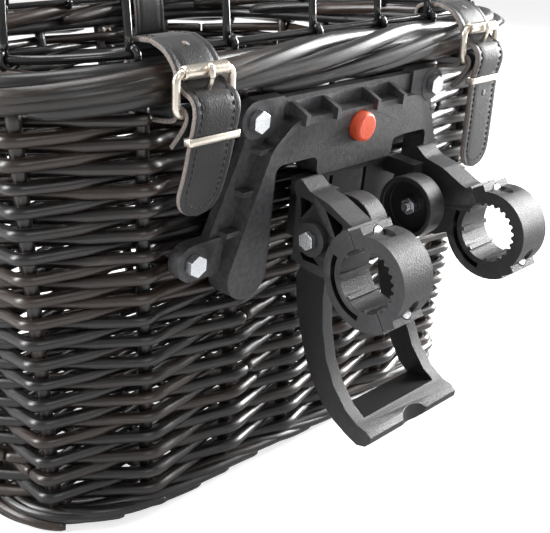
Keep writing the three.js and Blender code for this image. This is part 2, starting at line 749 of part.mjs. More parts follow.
place('adapter_plate', adapterPlate(), plastic, wallPlane);
place('release_button', surface(solid(releaseButton())), buttonPlastic, wallPlane).position.y = buttonS;

// Plate bolts through the wicker, each with a wide washer and a nut inside the basket
const boltSeat = plateBack + earThickness + gap;
function washerTopAt(x, s) {
  const z = plateOriginZ + s * Math.cos(wallTilt);
  const halfY = wallHalfY(z) - wallThickness;
  const curve = halfY - planHalfY(wallHalfX(z) - wallThickness, halfY, Math.abs(x) + washerDiameter / 2);
  return -wallDepth - curve - 3 * gap;
}

function ringOf(outer, hole, from, to, count) {
  return surface(cutBy(solid(bar('z', outer, from, to, count)),
    [bar('z', hole, from - overrun, to + overrun, 12)]));
}

plateBolts.forEach(([corner, x, s]) => {
  const washerTop = washerTopAt(x, s);
  const nutTop = washerTop - washerThickness - gap;
  const head = bar('z', hexRadius(boltHeadWidth), boltSeat, boltSeat + boltHeadHeight, 6);
  const shank = bar('z', boltShank / 2, nutTop - nutHeight - boltEnd, boltSeat + gap, 12);
  const hole = clearHole(boltShank) / 2;
  const washer = ringOf(washerDiameter / 2, hole, washerTop - washerThickness, washerTop, 24);
  const nut = ringOf(hexRadius(boltHeadWidth), hole, nutTop - nutHeight, nutTop, 6);
  [
    [`plate_bolt_${corner}`, surface(joined([head, shank]))],
    [`plate_washer_${corner}`, washer],
    [`plate_nut_${corner}`, nut],
  ].forEach(([name, geometry]) => place(name, geometry, zinc, wallPlane).position.set(x, s, 0));
});

// Carrier: a slotted panel with a tongue under the plate's housing and two cheeks that hold the arms
function carrierBody() {
  const panel = box(-panelHalfX, panelHalfX, panelLowS, panelTopS, panelBack, panelFront);
  const tongue = box(-tongueHalfX, tongueHalfX, panelTopS - overrun, tongueS,
    panelBack + gap, panelFront - gap);
  const cheeks = sides.map(([, sign]) => {
    const [near, far] = [cheekInnerX, clampInnerX - gap].map((x) => sign * x);
    return box(Math.min(near, far), Math.max(near, far), cheekLowS, panelTopS - gap,
      panelBack + gap, cheekOut);
  });
  const slots = panelSlotShares.map(([across, top, low]) => box(
    across * panelHalfX - panelSlotWidth / 2, across * panelHalfX + panelSlotWidth / 2,
    low * panelLowS, top * panelLowS, panelBack - overrun, panelFront + overrun));
  return surface(cutBy(joined([panel, tongue, ...cheeks]), slots));
}

const panelSlotShares = [[-0.41, 0.1, 0.4], [0.3, 0.12, 0.84]]; // place across, top and low end of each slot

place('carrier_body', carrierBody(), plastic, wallPlane);

// Clamp frame: x along the handlebar, y out through the cap, z up along the split
const clampFrame = (x) => new THREE.Matrix4().makeBasis(
  new THREE.Vector3(-1, 0, 0),
  new THREE.Vector3(0, -Math.cos(clampLean), Math.sin(clampLean)),
  new THREE.Vector3(0, Math.sin(clampLean), Math.cos(clampLean)),
).setPosition(x, -clampOut, clampUp);
const clampMiddleX = clampInnerX + clampWidth / 2;
const splitFace = gap / 2;
const capSeat = flangeDepth / 2;
const boreRadius = barBore / 2;

const screwHoles = () => [-1, 1].map((way) => bar('y', clearHole(screwDiameter) / 2,
  -screwReach - gap, flangeDepth + overrun, 12).translate(0, 0, way * screwRadius));

// Bore of the cap: teeth whose tips touch the handlebar
function toothedBore() {
  const corners = [];
  for (let i = 0; i < 8 * capTeeth; i += 1) {
    const turn = 2 * Math.PI * (i + 0.5) / (8 * capTeeth);
    const radius = boreRadius + (i % 4 < 2 ? 0 : toothDepth);
    corners.push(new THREE.Vector2(radius * Math.cos(turn), radius * Math.sin(turn)));
  }
  return slabX(new THREE.Shape(corners), -clampWidth, clampWidth);
}

// Ridges along the arm's half of the bore, as shares of half a turn from its middle
const ridgeShares = [-0.36, -0.12, 0.12, 0.36];
const boreRidges = () => ridgeShares.map((share) => box(
  -clampWidth / 2, clampWidth / 2, -boreRadius - 2 * toothDepth, -boreRadius,
  -ridgeWidth / 2, ridgeWidth / 2).rotateX(Math.PI * share));

// Curved slot in a side of the clamp, between two shares of half a turn
const sideSlotShare = 0.28;
function sideSlot(way) {
  const near = [];
  const far = [];
  for (let i = 0; i <= capTeeth; i += 1) {
    const turn = Math.PI * (1 + sideSlotShare * (2 * i / capTeeth - 1));
    const ray = new THREE.Vector2(Math.cos(turn), Math.sin(turn));
    near.push(ray.clone().multiplyScalar(sideSlotRadius - sideSlotWidth / 2));
    far.push(ray.multiplyScalar(sideSlotRadius + sideSlotWidth / 2));
  }
  const ends = [way * (clampWidth / 2 - sideSlotDepth), way * (clampWidth / 2 + overrun)];
  return slabX(new THREE.Shape([...near, ...far.reverse()]), Math.min(...ends), Math.max(...ends));
}

// Side outline of an arm as shares of its reach (out from the clamp) and rise
const armShares = [
  [-0.97, 0.93], [-0.882, 1], [-0.762, 0.854], [-0.55, 0.757], [-0.307, 0.564], [-0.21, 0.512],
  [-0.1, 0.1], [-0.24, -0.45], [-0.48, -0.11], [-0.635, -0.189], [-0.868, -0.124], [-1, -0.031],
  [-0.933, 0.755],
];
const webShares = [
  [[-0.885, 0.77], [-0.72, 0.72], [-0.88, 0.5]],
  [[-0.58, 0.67], [-0.37, 0.52], [-0.46, 0.33]],
  [[-0.9, 0.06], [-0.82, 0.12], [-0.66, -0.05], [-0.86, -0.02]],
  [[-0.5, 0.22], [-0.42, 0.18], [-0.41, 0.0], [-0.53, 0.0]],
];
const sidePoint = ([out, up]) => [-clampOut - out * armReach, clampUp + up * armRise];

// Right arm: a webbed body with a hook, a boss for the hub bolt, and the clamp's inner half
function rightArm() {
  const face = clampInnerX + armWidth;
  const body = slabX(outline(armShares.map(sidePoint), webWall / 2), clampInnerX, face);
  const boss = bar('x', hubBossRadius, clampInnerX, hubBossReach, 24).translate(0, -hubOut, hubUp);
  const shell = [
    bar('x', clampBackRadius, -clampWidth / 2, clampWidth / 2, 40),
    box(-clampWidth / 2, clampWidth / 2, -flangeDepth, flangeDepth, -flangeReach, flangeReach),
  ].map((geometry) => geometry.applyMatrix4(clampFrame(clampMiddleX)));
  const capSpace = box(-clampWidth, clampWidth, -splitFace, 2 * clampBackRadius,
    -2 * clampBackRadius, 2 * clampBackRadius);
  const bore = bar('x', boreRadius + toothDepth, -clampWidth, clampWidth, 40);
  const tools = [capSpace, bore, sideSlot(1), sideSlot(-1), ...screwHoles()]
    .map((geometry) => geometry.applyMatrix4(clampFrame(clampMiddleX)));
  const ridges = boreRidges().map((geometry) => geometry.applyMatrix4(clampFrame(clampMiddleX)));
  const webs = webShares.map((corners) => slabX(
    outline(corners.map(sidePoint), webWall / 3), face - webDepth, face + overrun, 2));
  const hubHole = bar('x', clearHole(hubBolt) / 2, clampInnerX - overrun, hubBossReach + overrun, 16);
  const arm = cutBy(joined([body, boss, ...shell]), [
    ...webs, ...tools, hubHole.translate(0, -hubOut, hubUp)]);
  return surface(arm.add(joined(ridges)));
}

// Clamp cap: a half ring, toothed inside, with a flange at each end and pocketed screws
function clampCap() {
  const arc = [];
  for (let i = 0; i <= 2 * capTeeth; i += 1) {
    const turn = Math.PI * (0.5 - i / (2 * capTeeth)) * capArcShare;
    arc.unshift(new THREE.Vector2(Math.cos(turn), Math.sin(turn)).multiplyScalar(boreRadius + capThickness));
  }
  const shell = slabX(new THREE.Shape([
    new THREE.Vector2(splitFace, -screwRadius), ...arc, new THREE.Vector2(splitFace, screwRadius),
  ]), -clampWidth / 2, clampWidth / 2);
  const flanges = box(-clampWidth / 2, clampWidth / 2, splitFace, flangeDepth, -flangeReach, flangeReach);
  const pockets = [-1, 1].map((way) => bar('y', screwHeadDiameter / 2 + runGap,
    capSeat, boreRadius + capThickness, 16).translate(0, 0, way * screwRadius));
  return surface(cutBy(joined([shell, flanges]), [toothedBore(), ...screwHoles(), ...pockets]));
}

const capArcShare = 0.98; // of half a turn, so the arc stays clear of the split

function clampScrew() {
  const head = bar('y', screwHeadDiameter / 2, capSeat + gap, capSeat + gap + screwHeadHeight, 16);
  const shank = bar('y', screwDiameter / 2, -screwReach, capSeat + 2 * gap, 12);
  return surface(joined([head, shank]));
}

// Hub disc: a cup that is open towards the middle, with the nut in it
function hubDisc() {
  const inner = clearHole(hubBolt) / 2;
  const far = hoopLegInnerX - gap;
  const profile = [
    [inner, far - hubCupFloor], [hubDiscRadius - hubCupWall, far - hubCupFloor],
    [hubDiscRadius - hubCupWall, hubDiscInnerX], [hubDiscRadius, hubDiscInnerX],
    [hubDiscRadius, far], [inner, far], [inner, far - hubCupFloor],
  ].map(([radius, x]) => new THREE.Vector2(radius, x));
  return surface(solid(new THREE.LatheGeometry(profile, 28).rotateZ(-Math.PI / 2)))
    .translate(0, -hubOut, hubUp);
}

function hubNut() {
  const far = hoopLegInnerX - hubCupFloor - 2 * gap;
  const block = bar('x', hexRadius(hubHeadWidth), far - hubNutHeight, far, 6);
  const hole = bar('x', clearHole(hubBolt) / 2, far - hubNutHeight - overrun, far + overrun, 12);
  return surface(cutBy(solid(block), [hole])).translate(0, -hubOut, hubUp);
}

function hubBoltSolid() {
  const seat = hubBossReach + gap;
  const head = bar('x', hexRadius(hubHeadWidth), seat, seat + hubHeadHeight, 6);
  const shank = bar('x', hubBolt / 2, hubDiscInnerX - gap, seat + gap, 16);
  return surface(joined([head, shank])).translate(0, -hubOut, hubUp);
}

const handed = (side, geometry) => (side === 'left' ? mirroredX(geometry) : geometry);

sides.forEach(([side, sign]) => {
  place(`${side}_arm`, handed(side, rightArm()), plastic);
  place(`${side}_hub_disc`, handed(side, hubDisc()), plastic);
  place(`${side}_hub_bolt`, handed(side, hubBoltSolid()), zinc);
  place(`${side}_hub_nut`, handed(side, hubNut()), zinc);
  const clamp = new THREE.Group();
  clamp.applyMatrix4(clampFrame(sign * clampMiddleX));
  basket.add(clamp);
  place(`${side}_clamp_cap`, clampCap(), plastic, clamp);
  [['upper', 1], ['lower', -1]].forEach(([level, way]) => {
    place(`${side}_${level}_screw`, clampScrew(), zinc, clamp).position.z = way * screwRadius;
  });
});

// Hoop stay: two legs from the hub and a bottom bar that rests on the bicycle's frame
const hoopShares = [
  [-0.265, -0.045], [-0.748, 0.255], [-0.75, 0.379], [-0.678, 0.521], [-0.603, 0.626], [-0.488, 0.732],
  [-0.295, 0.842], [-0.045, 0.919], [0.183, 0.967], [0.388, 1],
  [0.54, 0.993], [0.63, 0.97], [0.645, 0.942], [0.57, 0.917], [0.403, 0.9],
  [0.178, 0.844], [-0.048, 0.741], [-0.18, 0.628], [-0.245, 0.485], [-0.238, 0.339], [-0.183, 0.192],
  [0.26, 0.05],
];

function hoopStay() {
  const side = hoopShares.map(([out, drop]) => new THREE.Vector2(
    -hubOut - out * hoopSpan, hubUp - drop * hoopDrop));
  const body = slabX(new THREE.Shape(side), -hoopLegOuterX, hoopLegOuterX);
  const eye = bar('x', hoopEyeRadius, -hoopLegOuterX, hoopLegOuterX, 28).translate(0, -hubOut, hubUp);
  const window = box(-hoopLegInnerX, hoopLegInnerX, -hubOut - 2 * hoopSpan, -hubOut + 2 * hoopSpan,
    hoopWindowLow, hubUp + 2 * hoopEyeRadius);
  const hole = bar('x', clearHole(hubBolt) / 2, -hoopLegOuterX - overrun, hoopLegOuterX + overrun, 16);
  const nose = Math.max(...side.map((point) => -point.x));
  const saddle = bar('z', hoopSaddleRadius, 0, hoopWindowLow + overrun, 32)
    .translate(0, -nose - hoopSaddleRadius + hoopSaddleDepth, 0);
  return surface(cutBy(joined([body, eye]), [window, hole.translate(0, -hubOut, hubUp), saddle]));
}

place('hoop_stay', hoopStay(), plastic);

export default basket;
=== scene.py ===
"""Dresses the wicker bicycle basket: woven willow, wire cage, buckled straps and the handlebar bracket."""
import logging
import math
import random
from dataclasses import dataclass, field
from enum import Enum
from typing import Iterable, Sequence, Union

import bmesh
import bpy
import numpy as np
from mathutils import Matrix, Vector


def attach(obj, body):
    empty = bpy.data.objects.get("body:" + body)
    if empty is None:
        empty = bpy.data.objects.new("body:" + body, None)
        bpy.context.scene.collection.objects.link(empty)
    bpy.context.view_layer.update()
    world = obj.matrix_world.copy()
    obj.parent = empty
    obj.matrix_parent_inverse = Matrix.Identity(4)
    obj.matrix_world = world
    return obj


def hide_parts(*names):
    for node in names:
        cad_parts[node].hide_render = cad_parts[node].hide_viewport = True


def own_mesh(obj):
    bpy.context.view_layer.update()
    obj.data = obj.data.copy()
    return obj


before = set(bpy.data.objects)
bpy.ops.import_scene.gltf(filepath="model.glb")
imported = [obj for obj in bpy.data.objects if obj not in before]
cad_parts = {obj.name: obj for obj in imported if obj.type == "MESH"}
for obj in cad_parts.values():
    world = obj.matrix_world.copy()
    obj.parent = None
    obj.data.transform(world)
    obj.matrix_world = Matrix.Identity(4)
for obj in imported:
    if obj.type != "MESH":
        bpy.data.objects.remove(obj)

log = logging.getLogger("basket")
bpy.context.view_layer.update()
SEED = 11

Point = tuple[float, float, float]
Number = Union[bpy.types.NodeSocket, float]
Colour = Union[bpy.types.NodeSocket, Point]


class Slot(Enum):
    """Names of the material slots."""

    WILLOW = "willow"
    WIRE = "wire"
    STRAP = "strap"
    NICKEL = "nickel"
    PLASTIC = "plastic"
    BUTTON = "button"
    ZINC = "zinc"


class Shader:
    """A short way to place and join shader nodes in a tree."""

    def __init__(self, tree: bpy.types.NodeTree) -> None:
        """Keeps the tree that the nodes go into."""
        self.tree = tree

    def add(self, kind: str, inputs: dict | None = None, **settings) -> bpy.types.Node:
        """Adds a node.

        Args:
            kind: the node's type name.
            inputs: values or output sockets for its inputs, by name or number.
            settings: the node's own properties.

        Returns:
            The new node.
        """
        node = self.tree.nodes.new(kind)
        for name, value in settings.items():
            setattr(node, name, value)
        for name, value in (inputs or {}).items():
            self.join(node.inputs[name], value)
        return node

    def join(self, socket: bpy.types.NodeSocket, value: object) -> None:
        """Gives an input its value.

        Args:
            socket: the input.
            value: a plain value to set, or an output to link.
        """
        if isinstance(value, bpy.types.NodeSocket):
            self.tree.links.new(value, socket)
        else:
            socket.default_value = value

    def fill(self, node: bpy.types.Node, **values) -> None:
        """Gives inputs of a node their values, by name with underscores for spaces."""
        for label, value in values.items():
            self.join(node.inputs[label.replace("_", " ")], value)

    def ramp(self, value: bpy.types.NodeSocket, stops: Sequence[tuple[float, Point]]) -> bpy.types.NodeSocket:
        """Adds a colour ramp.

        Args:
            value: the number that drives it.
            stops: (place, colour) pairs in rising order.

        Returns:
            The ramp's colour output.
        """
        node = self.add("ShaderNodeValToRGB", {"Fac": value})
        marks = node.color_ramp.elements
        while len(marks) < len(stops):
            marks.new(0.5)
        for mark, (place, colour) in zip(marks, stops):
            mark.position = place
            mark.color = (*colour, 1.0)
        return node.outputs["Color"]

    def math(self, operation: str, first: Number, second: Number = 0.0) -> bpy.types.NodeSocket:
        """Adds a math node and gives its output."""
        return self.add("ShaderNodeMath", {0: first, 1: second}, operation=operation).outputs[0]

    def mix(self, share: Number, first: Colour, second: Colour) -> bpy.types.NodeSocket:
        """Mixes two colours by a share.

        Args:
            share: a number or a number socket.
            first: the colour at 0.
            second: the colour at 1.

        Returns:
            The mixed colour.
        """
        first, second = (colour if isinstance(colour, bpy.types.NodeSocket) else (*colour, 1.0)
                         for colour in (first, second))
        return self.add("ShaderNodeMix", {0: share, 6: first, 7: second}, data_type="RGBA").outputs[2]

    def range(self, value: Number, low: float, high: float) -> bpy.types.NodeSocket:
        """Stretches a 0 to 1 value to a range."""
        return self.add("ShaderNodeMapRange", {"Value": value, "To Min": low, "To Max": high}).outputs[0]


class EffectGroup:
    """A shader group that several materials share, built once."""

    def __init__(self, name: str, inputs: dict[str, float], outputs: Sequence[str]) -> None:
        """Makes the group's sockets, which are all numbers.

        Args:
            name: the group's name.
            inputs: the inputs' defaults, by name.
            outputs: the outputs' names.
        """
        self.tree = bpy.data.node_groups.new(name, "ShaderNodeTree")
        for label, default in inputs.items():
            socket = self.tree.interface.new_socket(label, in_out="INPUT", socket_type="NodeSocketFloat")
            socket.default_value = default
        for label in outputs:
            self.tree.interface.new_socket(label, in_out="OUTPUT", socket_type="NodeSocketFloat")
        self.shader = Shader(self.tree)
        self.start = self.tree.nodes.new("NodeGroupInput")
        self.end = self.tree.nodes.new("NodeGroupOutput")

    def give(self, label: str, socket: bpy.types.NodeSocket) -> None:
        """Joins a socket to one of the group's outputs."""
        self.tree.links.new(socket, self.end.inputs[label])

    def place(self, shader: Shader, **values) -> bpy.types.Node:
        """Places the group in a material.

        Args:
            shader: the material's shader helper.
            values: input values, with underscores for spaces.

        Returns:
            The group's node.
        """
        node = shader.add("ShaderNodeGroup", node_tree=self.tree)
        shader.fill(node, **values)
        return node


def grain_group() -> EffectGroup:
    """Fine grain and slow blotches, for plastic, leather and willow.

    Returns:
        The group, with Grain and Blotch outputs.
    """
    group = EffectGroup("surface_grain", {"Scale": 900.0, "Detail": 3.0}, ["Grain", "Blotch"])
    s = group.shader
    place = s.add("ShaderNodeTexCoord").outputs["Object"]
    fine = s.add("ShaderNodeTexNoise", {
        "Vector": place, "Scale": group.start.outputs["Scale"],
        "Detail": group.start.outputs["Detail"], "Roughness": 0.6})
    slow_scale = s.math("MULTIPLY", group.start.outputs["Scale"], 0.04)
    slow = s.add("ShaderNodeTexNoise", {"Vector": place, "Scale": slow_scale, "Detail": 2.0})
    group.give("Grain", fine.outputs["Fac"])
    group.give("Blotch", slow.outputs["Fac"])
    return group


def edge_group() -> EffectGroup:
    """Where convex edges are, for worn edges on metal and painted edge highlights on plastic.

    Returns:
        The group, with one Edge mask output.
    """
    group = EffectGroup("edge_wear_and_highlight", {"Reach": 0.5, "Scale": 300.0}, ["Edge"])
    s = group.shader
    pointy = s.add("ShaderNodeNewGeometry").outputs["Pointiness"]
    edge = s.add("ShaderNodeMapRange", {"Value": pointy, "From Min": 0.5, "From Max": 0.6}).outputs[0]
    place = s.add("ShaderNodeTexCoord").outputs["Object"]
    noise = s.add("ShaderNodeTexNoise", {
        "Vector": place, "Scale": group.start.outputs["Scale"], "Detail": 4.0})
    broken = s.math("MULTIPLY", edge, noise.outputs["Fac"])
    group.give("Edge", s.math("MULTIPLY", broken, group.start.outputs["Reach"]))
    return group


class Look(Shader):
    """A new material, with the tools that a finish dresses it with."""

    def __init__(self, name: str, effects: dict[str, EffectGroup]) -> None:
        """Makes the material.

        Args:
            name: its name.
            effects: the shared shader groups, by name.
        """
        self.material = bpy.data.materials.new(name)
        self.material.use_nodes = True
        self.surface = self.material.node_tree.nodes["Principled BSDF"]
        self.effects = effects
        super().__init__(self.material.node_tree)

    def effect(self, name: str, **values) -> bpy.types.Node:
        """Places one of the shared shader groups."""
        return self.effects[name].place(self, **values)

    def bump(self, height: bpy.types.NodeSocket, depth: float) -> None:
        """Feeds a height of 0 to 1 into the surface's normal, as a bump of this depth in metres."""
        bump = self.add("ShaderNodeBump", {"Height": height, "Distance": depth, "Strength": 1.0})
        self.fill(self.surface, Normal=bump.outputs["Normal"])


@dataclass(frozen=True)
class Finish:
    """A material: a base that each finish builds on."""

    name: str

    def make(self, effects: dict[str, EffectGroup]) -> bpy.types.Material:
        """Builds the material.

        Args:
            effects: the shared shader groups, by name.

        Returns:
            The finished material.
        """
        look = Look(self.name, effects)
        look.fill(look.surface, **self.dress(look))
        return look.material

    def dress(self, s: Look) -> dict[str, object]:
        """Adds this finish's nodes and gives the surface's inputs. Each finish has its own."""
        raise NotImplementedError


@dataclass(frozen=True)
class WillowFinish(Finish):
    """Black-stained willow: glossy rods with brown hints where the stain is thin."""

    name: str = "black_willow"
    dark: Point = (0.0085, 0.0075, 0.0075)
    brown: Point = (0.042, 0.025, 0.017)
    worn: Point = (0.12, 0.10, 0.09)
    scuffs_from: float = 0.63
    scuff_share: float = 0.42
    gloss: tuple[float, float] = (0.18, 0.58)
    depth: float = 0.00030

    def dress(self, s: Look) -> dict[str, object]:
        """Adds this finish's nodes.

        Args:
            s: the material's tools.

        Returns:
            The surface's inputs.
        """
        tone = s.add("ShaderNodeAttribute", attribute_name="tone").outputs["Fac"]
        along = s.add("ShaderNodeAttribute", attribute_name="along").outputs["Vector"]
        streak = s.add("ShaderNodeTexNoise", {
            "Vector": along, "Scale": 1.0, "Detail": 5.0, "Roughness": 0.65})
        fibre = s.add("ShaderNodeTexWave", {
            "Vector": along, "Scale": 0.35, "Distortion": 9.0, "Detail": 3.0}, bands_direction="Y")
        grain = s.effect("grain", Scale=260.0, Detail=4.0)
        share = s.math("MULTIPLY", streak.outputs["Fac"], grain.outputs["Blotch"])
        # each rod's tone lightens it at random; the border's core has tone 0, which paints shade between the
        # rim's rods
        share = s.math("ADD", share, s.math("MULTIPLY", tone, 0.35))
        stain = s.ramp(share, [(0.25, self.dark), (0.40, self.dark), (0.62, self.brown), (0.85, self.worn)])
        bare = s.math("GREATER_THAN", streak.outputs["Fac"], self.scuffs_from)
        scuff = s.math("MULTIPLY", bare, self.scuff_share)
        colour = s.mix(scuff, stain, self.worn)
        rough = s.range(streak.outputs["Fac"], *self.gloss)
        height = s.math("ADD", s.math("MULTIPLY", fibre.outputs["Fac"], 0.4), streak.outputs["Fac"])
        s.bump(height, self.depth)
        return dict(Base_Color=colour, Roughness=rough, Coat_Weight=0.55, Coat_Roughness=0.26)


@dataclass(frozen=True)
class WireFinish(Finish):
    """Gloss black coating on steel wire."""

    name: str = "black_wire"
    dark: Point = (0.010, 0.010, 0.011)
    light: Point = (0.020, 0.020, 0.022)
    gloss: tuple[float, float] = (0.12, 0.24)
    depth: float = 0.00005

    def dress(self, s: Look) -> dict[str, object]:
        """Adds this finish's nodes.

        Args:
            s: the material's tools.

        Returns:
            The surface's inputs.
        """
        grain = s.effect("grain", Scale=1400.0, Detail=2.0)
        colour = s.ramp(grain.outputs["Blotch"], [(0.35, self.dark), (0.7, self.light)])
        s.bump(grain.outputs["Grain"], self.depth)
        rough = s.range(grain.outputs["Blotch"], *self.gloss)
        return dict(Base_Color=colour, Roughness=rough, Coat_Weight=0.8, Coat_Roughness=0.08)


@dataclass(frozen=True)
class LeatherFinish(Finish):
    """Black strap leather: pebbled face, soft sheen."""

    name: str = "strap_leather"
    dark: Point = (0.011, 0.011, 0.012)
    light: Point = (0.022, 0.022, 0.024)
    gloss: tuple[float, float] = (0.36, 0.52)
    depth: float = 0.00014

    def dress(self, s: Look) -> dict[str, object]:
        """Adds this finish's nodes.

        Args:
            s: the material's tools.

        Returns:
            The surface's inputs.
        """
        grain = s.effect("grain", Scale=700.0, Detail=4.0)
        place = s.add("ShaderNodeTexCoord").outputs["Object"]
        pebble = s.add("ShaderNodeTexVoronoi", {"Vector": place, "Scale": 1100.0}, feature="SMOOTH_F1")
        colour = s.ramp(grain.outputs["Blotch"], [(0.3, self.dark), (0.75, self.light)])
        height = s.math("ADD", pebble.outputs["Distance"], s.math("MULTIPLY", grain.outputs["Grain"], 0.4))
        s.bump(height, self.depth)
        rough = s.range(grain.outputs["Grain"], *self.gloss)
        return dict(Base_Color=colour, Roughness=rough, Sheen_Weight=0.08)


@dataclass(frozen=True)
class FibreFinish(Finish):
    """Bare fibre in two tones, for the strap's cut edges and for its thread."""

    scale: float
    detail: float
    dark: Point
    light: Point
    depth: float
    roughness: float

    def dress(self, s: Look) -> dict[str, object]:
        """Adds this finish's nodes.

        Args:
            s: the material's tools.

        Returns:
            The surface's inputs.
        """
        grain = s.effect("grain", Scale=self.scale, Detail=self.detail).outputs["Grain"]
        colour = s.ramp(grain, [(0.3, self.dark), (0.7, self.light)])
        s.bump(grain, self.depth)
        return dict(Base_Color=colour, Roughness=self.roughness)


@dataclass(frozen=True)
class MetalFinish(Finish):
    """Plated metal with fine brushing and worn edges."""

    name: str = "plated_metal"
    light: Point = (0.80, 0.80, 0.80)
    shade: Point = (0.55, 0.56, 0.58)
    roughness: float = 0.22
    depth: float = 0.00006

    def dress(self, s: Look) -> dict[str, object]:
        """Adds this finish's nodes.

        Args:
            s: the material's tools.

        Returns:
            The surface's inputs.
        """
        grain = s.effect("grain", Scale=1500.0, Detail=4.0)
        edge = s.effect("edge", Reach=0.6, Scale=500.0)
        colour = s.ramp(grain.outputs["Blotch"], [(0.3, self.shade), (0.7, self.light)])
        colour = s.mix(edge.outputs["Edge"], colour, self.light)
        rough = s.range(grain.outputs["Grain"], self.roughness - 0.07, self.roughness + 0.12)
        s.bump(grain.outputs["Grain"], self.depth)
        return dict(Base_Color=colour, Roughness=rough, Metallic=1.0)


@dataclass(frozen=True)
class PlasticFinish(Finish):
    """Moulded plastic: fine spark-eroded grain, with a painted highlight lightening its convex edges."""

    name: str = "moulded_plastic"
    low: Point = (0.008, 0.008, 0.009)
    high: Point = (0.016, 0.016, 0.018)
    # pale colour painted on convex edges as a highlight
    painted_edge_highlight: Point = (0.120, 0.120, 0.126)
    roughness: float = 0.42
    depth: float = 0.00028

    def dress(self, s: Look) -> dict[str, object]:
        """Adds this finish's nodes.

        Args:
            s: the material's tools.

        Returns:
            The surface's inputs.
        """
        grain = s.effect("grain", Scale=1150.0, Detail=3.0)
        edge = s.effect("edge", Reach=1.0, Scale=350.0)
        colour = s.ramp(grain.outputs["Blotch"], [(0.3, self.low), (0.72, self.high)])
        # painted highlight: convex edges are lightened towards the pale edge colour
        colour = s.mix(edge.outputs["Edge"], colour, self.painted_edge_highlight)
        rough = s.range(grain.outputs["Blotch"], self.roughness - 0.06, self.roughness + 0.08)
        s.bump(grain.outputs["Grain"], self.depth)
        return dict(Base_Color=colour, Roughness=rough)


@dataclass(frozen=True)
class Plan:
    """The basket's rounded plan: a superellipse that grows from foot to top."""

    foot: tuple[float, float] = (0.189, 0.128)
    top: tuple[float, float] = (0.215, 0.1675)
    height: float = 0.264
    power: float = 5.5
    steps: int = 720

    def half(self, z: float, inset: float = 0.0) -> tuple[float, float]:
        """Half sizes along X and Y at a height above the ground, less an inset."""
        share = z / self.height
        return tuple(a + (b - a) * share - inset for a, b in zip(self.foot, self.top))

    def loop(self, half: tuple[float, float]) -> "Loop":
        """The closed line of this plan with the given half sizes."""
        return Loop(half, self.power, self.steps)


class Loop:
    """A closed superellipse that can be walked by its length share."""

    # how far to each side the line is looked at for its direction, as a share of its length
    LOOK = 0.002

    def __init__(self, half: tuple[float, float], power: float, steps: int) -> None:
        """Lays out the line.

        Args:
            half: half sizes along X and Y.
            power: the superellipse's power.
            steps: how many points make the line.
        """
        self.turn = np.linspace(0.0, math.tau, steps + 1)
        c, s = np.cos(self.turn), np.sin(self.turn)
        reach = (np.abs(c) ** power + np.abs(s) ** power) ** (-1.0 / power)
        self.x = half[0] * c * reach
        self.y = half[1] * s * reach
        step = np.hypot(np.diff(self.x), np.diff(self.y))
        self.walked = np.concatenate([[0.0], np.cumsum(step)])
        self.length = float(self.walked[-1])

    def share_at(self, turn: np.ndarray) -> np.ndarray:
        """Length shares of the points at these turns about the middle."""
        return np.interp(turn, self.turn, self.walked / self.length)

    def at(self, share: np.ndarray, out: np.ndarray | float = 0.0) -> tuple[np.ndarray, np.ndarray]:
        """Points at length shares, moved outwards.

        Args:
            share: length shares; whole turns are taken off.
            out: distances outwards from the line.

        Returns:
            X and Y of the points.
        """
        place = np.mod(share, 1.0) * self.length
        reach = self.length * self.LOOK
        spots = [np.mod(place + shift, self.length) for shift in (0.0, -reach, reach)]
        x, x1, x2 = (np.interp(spot, self.walked, self.x) for spot in spots)
        y, y1, y2 = (np.interp(spot, self.walked, self.y) for spot in spots)
        size = np.hypot(x2 - x1, y2 - y1)
        return x + out * (y2 - y1) / size, y - out * (x2 - x1) / size

    def path(self, share: np.ndarray, z: np.ndarray | float, out: np.ndarray | float = 0.0) -> np.ndarray:
        """Points at length shares, at heights z and moved outwards."""
        x, y = self.at(share, out)
        return np.stack([x, y, np.broadcast_to(z, x.shape)], axis=-1)


def add_object(name: str, data: bpy.types.ID) -> bpy.types.Object:
    """Makes an object of this data and links it to the scene.

    Args:
        name: the object's name.
        data: its mesh, light or camera.

    Returns:
        The object.
    """
    made = bpy.data.objects.new(name, data)
    bpy.context.scene.collection.objects.link(made)
    return made


